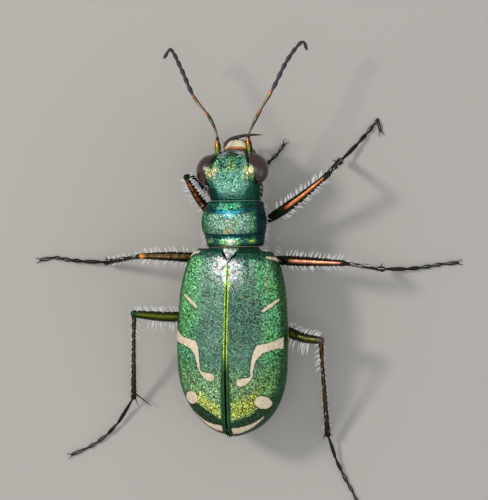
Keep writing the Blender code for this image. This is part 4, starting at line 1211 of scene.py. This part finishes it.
def trunk():
    """Middle and hind thorax, with the neck in front of the wing cases and the hips."""
    front, rear = -0.5, 3.42
    y = np.linspace(front, rear, 150)
    wide = curve((front, -0.2, 0.05, 0.4, 1.0, 2.0, 3.0, rear),
                 (1.0, 1.2, 1.42, 1.78, 1.98, 2.1, 2.12, 2.1), y)
    low = curve((front, -0.1, 0.4, 1.5, rear), (2.6, 2.3, 2.06, 2.0, 2.03), y)
    side = curve((front, 0.1, 0.6, rear), (3.4, 3.42, 3.34, 3.14), y)
    top = curve((front, -0.15, 0.1, 0.5, rear), (4.0, 4.14, 4.22, 4.0, 3.9), y)
    rows = rings(y, wide, low, side, top, 2.4, 2.2, 150)
    x, y, z = parts_of(rows)
    ax = np.abs(x)
    below = fall(z, 3.2, 3.5)
    groove = bell(y - 0.78 - 0.25 * (z - 2.6), 0.045) + bell(y - 2.62 - 0.1 * ax, 0.045) * fall(z, 2.3, 2.7)
    groove += bell(y - 0.05, 0.05) + bell(ax - 1.35 - 0.12 * y, 0.05) * step(y, 0.8, 1.0) * fall(z, 2.9, 3.2)
    groove += bell(x, 0.03) * step(y, 0.9, 1.2) * (z < 2.5)
    relief = 0.015 * ripple(rows, 0.6, 51) + 0.004 * ripple(rows, 0.15, 52) - 0.04 * groove * below
    rows = raised(rows, relief)
    tint = paint(
        (40, 66, 46),
        ((122, 78, 52), below * bell(z - 2.75, 0.28)),
        ((36, 72, 92), below * bell(x, 0.9)),
        ((20, 34, 26), clamp(groove)),
        ((26, 66, 52), step(z, 3.5, 3.8)))
    piece = Piece("thorax_sclerites", hind)
    piece.grid(rows, tint, looks(0.12 * below, 0.3 + 0.5 * below))
    for side in (-1, 1):
        for centre, radii in HIPS:
            hip = ellipsoid(mirrored(centre, side), radii, bend=lambda ball: 0.03 * np.sin(5 * ball[..., 1]))
            tint = paint((38, 62, 44), ((128, 84, 54), bell(hip[..., 2] - 1.72, 0.16)))
            piece.grid(hip, tint, (0.1, 0.6, 1))
    piece.make(BELLY, "underside", "thorax")


def scutellum():
    """Small plate between the bases of the wing cases."""
    s, across = np.linspace(0, 1, 34)[:, None], np.linspace(-1, 1, 41)
    x = across * (0.46 * (1 - s ** 1.1) + 0.012)
    y = -0.2 + 0.64 * s + 0 * across
    z = 4.34 + 0.24 * step(s, 0, 0.9) - 0.2 * np.abs(across) ** 8
    z = z - 0.05 * across ** 2 + 0.02 * bell(across, 0.3)
    z = z - 0.2 * fall(s, 0, 0.12) + 0.012 * ripple(np.stack([x, y, z], -1), 0.15, 41)
    # Near-white with pink: painted highlight over the plate; greener towards its right edge
    tint = paint((244, 255, 240), ((255, 236, 236), bell(across - 0.4, 0.4)),
                 ((100, 160, 90), bell(across + 1, 0.5)))
    piece = Piece("scutellum_plate", hind)
    piece.grid(np.stack([x, y, z], -1), tint, (0.7, 1, 1), closed=False)
    piece.make(SHELL, "elytra", thick=0.08)


def abdomen():
    front, length = 3.3, 5.0
    y = np.linspace(front, front + length, 190)
    t = (y - front) / length
    cuts = np.array([0, 0.2, 0.38, 0.54, 0.69, 0.84, 1.0])
    ramp = np.interp(t, np.repeat(cuts, 2)[1:-1] + np.tile([0, -0.012], 6), np.tile([0.0, 1.0], 6))
    wide = np.maximum(elytra_width(y) - 0.42, 0.2) * (1 - 0.10 * t ** 4)
    low = 2.0 + 0.22 * t ** 2 - 0.05 * ramp
    edge = elytra_edge(y) - 0.2
    rows = rings(y, wide, low, edge, np.maximum(elytra_top(y) - 0.7, edge + 0.2), 2.4, 2.1, 130)
    x, y, z = parts_of(rows)
    band = (clamp(1 - ramp * 6) + step(ramp, 0.86, 1.0))[:, None]
    rows = raised(rows, 0.01 * ripple(rows, 0.5, 61) + 0.003 * ripple(rows, 0.12, 62))
    tint = paint(
        (28, 74, 78),
        ((34, 92, 64), bell(np.abs(x) - 1.1, 0.6)),
        ((122, 80, 52), 0.7 * bell(z - 2.9, 0.25)),
        ((16, 36, 34), 0.7 * band),
        ((60, 44, 30), step(y, 8.1, 8.4)))
    piece = Piece("abdomen_sternites", hind)
    piece.grid(rows, tint, (0.08, 0.6, 1))
    piece.make(BELLY, "underside", "abdomen")


# ---------------------------------------------------------------- legs

HIP_HEIGHT, ANKLE_HEIGHT, SOLE = 2.05, 0.62, 0.085
# Places along a femur, and its radii at the first four, which all pairs share
SHANK_AT = (0, 0.1, 0.2, 0.38, 0.6, 0.8, 0.92, 1)
SHANK = (0.14, 0.16, 0.205, 0.225)
HAIR = 0.036                 # radius of the long white hairs

# Each pair: place of the left hip, factor for the femur's thickness, radii of tibia and tarsus, length
# and spacing of the hairs, thickness along the femur's second half, ground colours of femur and tibia
PAIRS = {
    "fore": dict(hip=(0.98, -1.32), femur=1.04, tibia=0.155, tarsus=0.08, hair=0.33, gap=0.19,
                 shank=(0.195, 0.15, 0.12, 0.13), ground=(40, 40, 18), tone=(36, 30, 20)),
    "mid": dict(hip=(1.15, 0.35), femur=1.06, tibia=0.128, tarsus=0.088, hair=0.34, gap=0.24,
                shank=(0.205, 0.168, 0.14, 0.135), ground=(44, 36, 16), tone=(36, 30, 20)),
    "hind": dict(hip=(1.20, 2.95), femur=1.06, tibia=0.12, tarsus=0.078, hair=0.34, gap=0.17,
                 shank=(0.22, 0.20, 0.175, 0.16), ground=(36, 42, 14), tone=(30, 28, 16)),
}
# Each leg: bow of the femur; places of the knee, of the ankle, of the point that the foot bends towards,
# of the end of its fourth segment and of its claws; ways and length of the spurs; colours of the femur's
# painted highlight, a stripe, and of its brighter glow, and where along the femur the stripe begins;
# colours of the painted light on the shin and of the knee
LEGS = {
    "fore_right": dict(
        bow=(0.0, 0.14, 0.12), knee=(-4.42, -3.56, 3.40), ankle=(-4.46, -4.26), lean=(-5.42, -5.24),
        fourth=(-6.16, -6.24), claw=(-6.28, -5.68), spurs=((0.93, -0.33), (-0.4, -0.8)), spur=0.42,
        stripe_highlight=(226, 78, 26), glow_highlight=(255, 196, 130), bare=0.34, shin=(132, 108, 74), joint=(40, 34, 20)),
    "fore_left": dict(
        bow=(0.16, 0.0, -0.1), knee=(2.16, -3.50, 4.10), ankle=(0.86, -2.43), lean=(-0.20, -3.60),
        fourth=(-1.33, -4.61), claw=(-1.64, -5.08), spurs=((-0.9, 0.1), (-0.3, -0.9)), spur=0.35,
        stripe_highlight=(170, 74, 26), glow_highlight=(255, 170, 96), bare=0.14, shin=(90, 84, 66), joint=(34, 34, 18)),
    "mid_right": dict(
        bow=(0.0, 0.0, 0.12), knee=(-5.26, 0.52, 3.60), ankle=(-6.50, 0.80), lean=(-7.70, 0.88),
        fourth=(-9.20, 0.57), claw=(-9.98, 0.50), spurs=((-0.5, -0.8), (-0.5, 0.8)), spur=0.32,
        stripe_highlight=(220, 96, 62), glow_highlight=(255, 206, 170), bare=0.30, shin=(186, 154, 112), joint=(60, 44, 26)),
    "mid_left": dict(
        bow=(0.0, -0.05, 0.12), knee=(4.43, 0.19, 3.50), ankle=(6.87, 0.48), lean=(8.30, 0.50),
        fourth=(9.50, 0.26), claw=(10.2, 0.38), spurs=((0.5, -0.8), (0.5, 0.8)), spur=0.32,
        stripe_highlight=(86, 60, 22), glow_highlight=(186, 156, 104), bare=0.1, shin=(76, 70, 44), joint=(220, 164, 76)),
    "hind_right": dict(
        bow=(0.0, 0.30, 0.0), knee=(-4.10, 4.12, 3.20), ankle=(-3.86, 8.58), lean=(-4.10, 9.90),
        fourth=(-4.93, 11.25), claw=(-5.28, 12.00), spurs=((0.45, 0.9), (-0.55, 0.8)), spur=0.6,
        stripe_highlight=(80, 80, 30), glow_highlight=(112, 96, 46), bare=0.1, shin=(112, 66, 30), joint=(104, 84, 76)),
    "hind_left": dict(
        bow=(0.0, 0.12, 0.0), knee=(4.84, 2.90, 3.30), ankle=(5.52, 6.85), lean=(6.45, 8.55),
        fourth=(7.82, 9.24), claw=(8.66, 9.60), spurs=((-0.78, 0.62), (-0.25, 0.95)), spur=1.05,
        stripe_highlight=(84, 88, 14), glow_highlight=(108, 106, 22), bare=0.1, shin=(110, 92, 36), joint=(24, 62, 54)),
}
# Points of the folded left fore tibia, between knee and ankle
FOLDED = ((1.93, -3.46, 3.68), (1.69, -3.10, 2.9), (1.43, -2.72, 1.9))
# Places of the joints along the foot, from the ankle to the end of the fourth segment, and points of a
# claw: ahead, aside and up from its root
FOOT_JOINTS = (0.0, 0.40, 0.63, 0.83, 1.0)
HOOK = ((0, 0, 0), (0.09, 0.06, 0.03), (0.20, 0.11, 0), (0.28, 0.11, -0.055))


def trochanter_tint(limb):
    return paint((52, 92, 48), ((112, 88, 44), bell(limb.round - 1.6, 0.5)))


class Leg:
    """One leg of the beetle, from the tables of its pair and of its own pose."""

    def __init__(self, name):
        self.name = name
        self.pair, hand = name.split("_")
        self.left, self.folded = hand == "left", name == "fore_left"
        self.pose = {**PAIRS[self.pair], **LEGS[name]}
        east, north = self.pose["hip"]
        self.root = np.array((east if self.left else -east, north, HIP_HEIGHT))
        self.knee = np.array(self.pose["knee"])
        self.ankle = np.array((*self.pose["ankle"], ANKLE_HEIGHT))

    def tile(self, row=0.0):
        """Place of a row of hairs on the map of the pair's coat."""
        return 0.22 * list(PAIRS).index(self.pair), 0.05 + 0.45 * self.left + row

    def femur(self):
        pose, name, root, out = self.pose, self.name, self.root, unit(self.knee - self.root)
        t = np.linspace(0, 1, 60)[:, None]
        path = root + (self.knee - root) * t + np.array(pose["bow"]) * np.sin(math.pi * t)
        broad = pose["femur"] * (0.88 if self.folded else 1.0)
        radii = broad * profile(SHANK_AT, SHANK + pose["shank"], len(path))
        limb = Limb(path[5:], radii[5:], flat=1.12, sides=26)
        upper, share, bare = limb.off(1.50), limb.share, pose["bare"]
        if self.pair == "hind":
            lit_crest = bell(upper, 0.55)
        else:
            lit_crest = fall(np.abs(upper), 0.22, 0.62 if self.left else 0.42)
        lit_crest = lit_crest * step(share, bare, bare + 0.07) * (1 - 0.9 * step(share, 0.93, 0.98))
        dots = clamp(0.62 + 0.5 * np.sin(62 * share) + 0.5 * ripple(limb.rows, 0.16, 91))
        shine = bell(upper, 0.17) * (0.7 + 0.3 * dots)
        if name == "mid_left":
            shine = (bell(upper - 0.28, 0.11) + bell(upper + 0.28, 0.11)) * dots
        if self.folded:
            lit_crest, shine = lit_crest * (0.35 + 0.65 * dots), bell(upper, 0.24) * dots
        # Painted highlights: a stripe along the top and a brighter glow where it shines; the darker green
        # root is partly painted shade under the body
        tint = paint(
            pose["ground"],
            (pose["stripe_highlight"], lit_crest),
            (pose["glow_highlight"], 0.9 * lit_crest * shine),
            ((30, 48, 24), fall(share, bare - 0.1, bare + 0.02)),
            (pose["joint"], step(share, 0.90, 0.96)))
        piece = Piece(f"femur_{name}")
        piece.grid(limb.rows, tint, looks(0.04 + (0.06 if self.left else 0.2) * lit_crest, 0.5))
        hip = course([root - out * 0.12, root + out * 0.2, root + out * 0.46 + (0, 0, 0.02)], 16)
        swell = profile((0, 0.5, 1), (0.85, 1.05, 0.7), 16)
        piece.tube(hip, 0.17 * swell, trochanter_tint, (0.1, 0.4, 1), sides=20)
        piece.make(LEG, "femur", f"leg_{name}_femur")
        return limb

    def tibia(self):
        """Shin, with its spurs."""
        pose, knee, ankle, reach = self.pose, self.knee, self.ankle, self.ankle - self.knee
        line = [knee, knee + reach * 0.3 + (0, 0, 0.05), knee + reach * 0.7 + (0, 0, 0.025), ankle]
        if self.folded:
            line = [knee + (0.0, -0.02, -0.08), *FOLDED, ankle]
        path = course(line, 54)
        down = unit(ankle - path[30])
        swell = profile((0, 0.05, 0.15, 0.5, 0.9, 1), (0.85, 1.0, 0.82, 0.86, 1.05, 1.12), len(path))
        limb = Limb(path, pose["tibia"] * swell, flat=0.9, sides=20,
                    up=(0, 1, 0.2) if abs(down[2]) > 0.8 else (0, 0, 1))
        share = limb.share
        tint = paint(
            pose["tone"],
            # Painted light along the top of the shin
            (pose["shin"], 0.8 * bell(limb.off(1.7), 0.45) * (1 - 0.6 * step(share, 0.6, 0.95))),
            ((24, 22, 18), step(share, 0.93, 1)),
            (pose["joint"], 0.7 * fall(share, 0.02, 0.07)))
        piece = Piece(f"tibia_{self.name}")
        piece.grid(limb.rows, tint, (0.02, 0.5, 1))
        for (east, north), size in zip(pose["spurs"], (1, 0.65)):
            stem = ankle - down * 0.28
            end = stem + unit(np.array([east, north, -0.3])) * pose["spur"] * size
            spur = course([stem, (stem + end) / 2 + (0, 0, 0.03), end], 12)
            piece.tube(spur, np.linspace(0.042, 0.01, 12), (52, 40, 26), (0, 0.3, 1), sides=8)
        piece.make(LEG, "tibia", f"leg_{self.name}_tibia")
        return limb

    def tarsus(self):
        """Foot: five segments and two claws."""
        pose, ankle, foot = self.pose, self.ankle, self.pose["tarsus"]
        lean, fourth, tip = (np.array([*pose[key], SOLE]) for key in ("lean", "fourth", "claw"))
        joints = [ankle * (1 - u) ** 2 + lean * 2 * u * (1 - u) + fourth * u * u for u in FOOT_JOINTS] + [tip]
        swell = profile((0, 0.1, 0.8, 1), (0.55, 0.58, 1.08, 0.9), 18)
        piece, limbs = Piece(f"tarsus_{self.name}"), []
        for k, (near, far) in enumerate(zip(joints, joints[1:])):
            middle = (near + far) / 2 + (0, 0, 0.025)
            if k == 0:
                middle[2] = 0.34 * near[2] + 0.66 * far[2]
            path = course([near, middle, far - unit(far - near) * 0.03], 18)
            bulk = foot * (0.9 if k > 2 else 1.12 if self.pair == "fore" else 1.0)
            limb = Limb(path, bulk * swell, flat=0.8, sides=14)
            sheen = bell(limb.round - 1.7, 0.3)
            tint = paint(
                (30, 27, 22),
                ((70, 66, 54), 0.5 * sheen),
                ((206, 216, 190), 0.4 * sheen ** 2 * bell(limb.share - 0.6, 0.22) * (k > 1)),
                ((18, 17, 15), step(limb.share, 0.9, 1)))
            piece.grid(limb.rows, tint, (0.0, 0.4, 1))
            limbs.append(limb)
        ahead = unit(joints[-1] - joints[-2])
        aside = unit(np.cross(ahead, (0, 0, 1)))
        for turn in (-1, 1):
            hook = [tip + ahead * (a - 0.03) + aside * turn * b + (0, 0, c) for a, b, c in HOOK]
            piece.tube(course(hook, 16), np.linspace(0.03, 0.006, 16), (66, 38, 22), (0, 0.2, 1), sides=10)
        piece.make(LEG, "tarsus", f"leg_{self.name}_tarsus")
        return limbs

    def hairs(self, coat, femur, tibia, tarsus):
        """A fringe on both sides of the femur, rows on the shin, spines on the foot."""
        side, hind_leg, folded = 1 if self.left else -1, self.pair == "hind", self.folded
        hair, gap = self.pose["hair"], self.pose["gap"]
        near, far = (0.0, math.pi) if self.left == (not hind_leg) else (math.pi, 0.0)
        if hind_leg:
            fringe(coat, femur, (near, near - 0.25 * side), 0.36, 0.78, gap, 0.62, lean=0.06, curl=0.06,
                   radius=HAIR, spread=0.14, tile=self.tile())
        else:
            fringe(coat, femur, (near, near + 0.3 * side), 0.24, 0.94, gap, hair, lean=0.35, curl=0.2,
                   radius=HAIR, spread=0.16, tile=self.tile())
        fringe(coat, femur, (far, far + (0.3 if hind_leg else -0.3) * side), 0.24, 0.93,
               gap * (1.6 if folded else 1.0), hair * (1.2 if folded else 1.0),
               radius=HAIR, spread=0.16, tile=self.tile(0.02))
        fringe(coat, femur, (-1.9, -1.2), 0.1, 0.9, 0.2, hair * 0.8, curl=0.2, radius=0.016,
               tile=self.tile(0.04))
        dense = {"fore": 0.2 if folded else 0.42, "mid": 0.2, "hind": 0.28}[self.pair]
        fringe(coat, tibia, (0.0, 3.1), 0.05, 0.9, dense, hair * (0.5 if hind_leg or folded else 0.7),
               lean=0.8, curl=0.15, radius=0.024, tile=self.tile(0.08))
        fringe(coat, tibia, (1.2, 4.3), 0.06, 0.95, dense * 1.6, hair * 0.5, lean=0.9, curl=0.1, radius=0.016,
               tile=self.tile(0.10))
        if hind_leg:
            fringe(coat, tibia, (near,), 0.04, 0.32, 0.22, 0.44, lean=0.7, curl=0.1, radius=HAIR,
                   tile=self.tile(0.12))
        if folded:
            fringe(coat, tibia, (1.2, 2.2), 0.02, 0.75, 0.16, 0.2, lean=0.2, curl=0.3, radius=0.04,
                   tile=self.tile(0.12))
        fringe(coat, tibia, (0.6, 2.4, 3.8, 5.4), 0.12, 0.96, 0.3, 0.2, lean=0.9, curl=0.0, radius=0.016,
               colour=(50, 40, 30), tile=self.tile(0.14))
        for k, limb in enumerate(tarsus):
            fringe(coat, limb, (0.3, 2.84), 0.3, 0.98, 0.16, 0.13, lean=1.1, curl=0.0, radius=0.012,
                   colour=(56, 46, 34), tile=self.tile(0.18 + 0.015 * k))


# ---------------------------------------------------------------- hair of the body

BACK, UNDER = (0, 0.9, -0.3), (0, 0.7, 0.2)
# Left half's groups: place, centre, spread, outward way, heading, number, length, tile and, where
# they are drawn out to the skin, the body section: half width, underside, widest height and top
GROUPS = (
    (fore, (1.4, -1.3, 2.95), (0.02, 0.5, 0.22), (1, 0, -0.1), BACK, 70, 0.3, 0.0, (1.5, 2.5, 3.42, 4.5)),
    (fore, (1.2, -2.9, 3.0), (0.02, 0.2, 0.2), (1, 0, 0), BACK, 16, 0.2, 0.1, (1.3, 2.6, 3.45, 4.2)),
    (hind, (1.9, 1.4, 2.75), (0.02, 0.75, 0.22), (1, 0, -0.3), BACK, 130, 0.32, 0.2, (2.04, 2.0, 3.2, 4.0)),
    (hind, (1.6, 0.05, 2.95), (0.02, 0.18, 0.2), (1, 0, 0), BACK, 34, 0.3, 0.3, (1.45, 2.3, 3.4, 4.2)),
    (hind, (1.9, 4.4, 2.65), (0.02, 0.9, 0.2), (1, 0, -0.5), BACK, 90, 0.24, 0.4, (2.2, 2.0, 2.95, 4.0)),
    (fore, (0.85, -1.35, 1.86), (0.2, 0.25, 0.05), (0.3, 0, -1), UNDER, 30, 0.25, 0.5, ()),
    (hind, (0.95, 0.4, 1.74), (0.25, 0.25, 0.03), (0.3, 0, -1), UNDER, 30, 0.25, 0.6, ()),
    (hind, (0.95, 2.8, 1.76), (0.35, 0.2, 0.03), (0.3, 0, -1), UNDER, 36, 0.25, 0.7, ()),
)
FRONS_HAIRS = 20
LIP_HAIRS = ((0.12, -5.16, 2.68), (0.3, -5.10, 2.67), (0.42, -4.98, 2.72))


def body_hair(coat):
    for side in (-1, 1):
        for place, centre, spread, normal, heading, count, length, tile, section in GROUPS:
            patch(coat, place, mirrored(centre, side), spread, mirrored(normal, side), heading, count, length,
                  tile, on_ring(*section) if section else straight)
        # White hairs by the feelers' sockets, crossing over the lip's root
        total = FRONS_HAIRS
        roots = np.stack([side * rng.uniform(0.36, 0.66, total), rng.uniform(-4.68, -4.42, total),
                          rng.uniform(3.54, 3.80, total)], 1)
        ways = unit(mirrored((-0.75, 0.05, 0.6), side) + rng.normal(0, 0.32, (total, 3)))
        bends = mirrored((-0.25, 0.0, -0.35), side) + rng.normal(0, 0.12, (total, 3))
        tiles = np.stack([np.full(total, 0.84), 0.93 + 0.002 * np.arange(total)], 1)
        bristles(coat, fore(roots), ways, bends, rng.uniform(0.3, 0.5, total), 0.0105, (250, 250, 248), tiles)
        # Three bristles at each side of the lip
        ways, bends = unit(np.array([(side * 0.1, -1, 0.2)] * 3)), np.array([(0, -0.2, -0.4)] * 3)
        tiles = np.stack([np.full(3, 0.88), 0.93 + 0.01 * np.arange(3)], 1)
        bristles(coat, fore(mirrored(LIP_HAIRS, side)), ways, bends, np.full(3, 0.3), 0.010, (150, 120, 80),
                 tiles)


# ---------------------------------------------------------------- floor, light and camera

PHOTO = (488, 500)           # size of the photo, in pixels
ORIGIN_AT = (250.6, 252.0)   # where the design's origin lies in it, from its upper left corner
PIXEL = 0.0468               # mm of the beetle to each pixel
LEAN = math.radians(13)      # of the view, to the beetle's right
SENSOR = 24
DISTANCE = 0.4               # of the camera, in metres
AIM_HEIGHT = 0.003           # height of what lamps and camera look at, in metres
# Lamps: name, way to it, distance, size, power, colour
LAMPS = (
    ("key", (0.64, -0.30, 0.9), 0.16, 0.026, 0.095, (1.0, 0.97, 0.92)),
    ("top", (-0.25, 0.1, 1.0), 0.30, 0.16, 0.16, (1.0, 1.0, 1.0)),
    ("fill", (-1.0, 0.4, 0.55), 0.20, 0.12, 0.05, (0.9, 0.96, 1.0)),
)


def placed(name, data):
    item = bpy.data.objects.new(name, data)
    bpy.context.scene.collection.objects.link(item)
    return item


def stage_floor():
    mesh = bpy.data.meshes.new("floor")
    mesh.from_pydata([(-2, -2, 0), (2, -2, 0), (2, 2, 0), (-2, 2, 0)], [], [(0, 1, 2, 3)])
    net = Weave("floor_paper")
    net.shade(Base_Color=rgba(186, 180, 172), Roughness=0.9)
    mesh.materials.append(net.material)
    placed("floor", mesh)


def studio():
    world = bpy.data.worlds.new("studio")
    world.use_nodes = True
    sky = world.node_tree.nodes["Background"]
    sky.inputs["Color"].default_value = (0.86, 0.92, 1.0, 1.0)
    sky.inputs["Strength"].default_value = 0.50
    bpy.context.scene.world = world
    target = Vector((0, 0, AIM_HEIGHT))
    for name, way, distance, size, power, colour in LAMPS:
        light = bpy.data.lights.new(name, "AREA")
        light.size, light.energy, light.color = size, power, colour
        lamp = placed(name, light)
        lamp.location = target + Vector(way).normalized() * distance
        lamp.rotation_euler = (target - lamp.location).to_track_quat("-Z", "Y").to_euler()


def camera():
    """Looks down on the back, leaning to the beetle's right, from far off."""
    pixel = PIXEL * MM
    toward = Vector((-math.sin(LEAN), 0, math.cos(LEAN)))
    right, up = Vector((-math.cos(LEAN), 0, -math.sin(LEAN))), Vector((0, -1, 0))
    east, north = (ORIGIN_AT[0] - PHOTO[0] / 2) * pixel, (PHOTO[1] / 2 - ORIGIN_AT[1]) * pixel
    aim = Vector(((east - math.sin(LEAN) * AIM_HEIGHT) / math.cos(LEAN), north, AIM_HEIGHT))
    aim += Vector(SHIFT * MM)
    data = bpy.data.cameras.new("camera")
    data.sensor_fit, data.sensor_height = "VERTICAL", SENSOR
    data.lens = SENSOR * DISTANCE / (PHOTO[1] * pixel)
    data.clip_start, data.clip_end = 0.01, 5
    turn = Matrix((right, up, toward)).transposed().to_4x4()
    item = placed("camera", data)
    item.matrix_world = Matrix.Translation(aim + toward * DISTANCE) @ turn
    bpy.context.scene.camera = item


# ---------------------------------------------------------------- the whole beetle

elytra()
pronotum()
hems()
head()
eyes()
labrum()
mandibles()
trunk()
scutellum()
abdomen()
face_coat = Piece("setae_of_head")
palps(face_coat)
antennae(face_coat)
face_coat.make(SETA, "antenna_tip")
for pair in PAIRS:
    leg_coat = Piece(f"setae_of_{pair}_legs")
    for hand, _ in SIDES:
        leg = Leg(f"{pair}_{hand}")
        leg.hairs(leg_coat, leg.femur(), leg.tibia(), leg.tarsus())
    leg_coat.make(SETA, "femur")
body_coat = Piece("setae_of_body")
body_hair(body_coat)
body_coat.make(SETA, "underside")

stage_floor()
studio()
camera()
bpy.context.scene.view_settings.view_transform = "Standard"
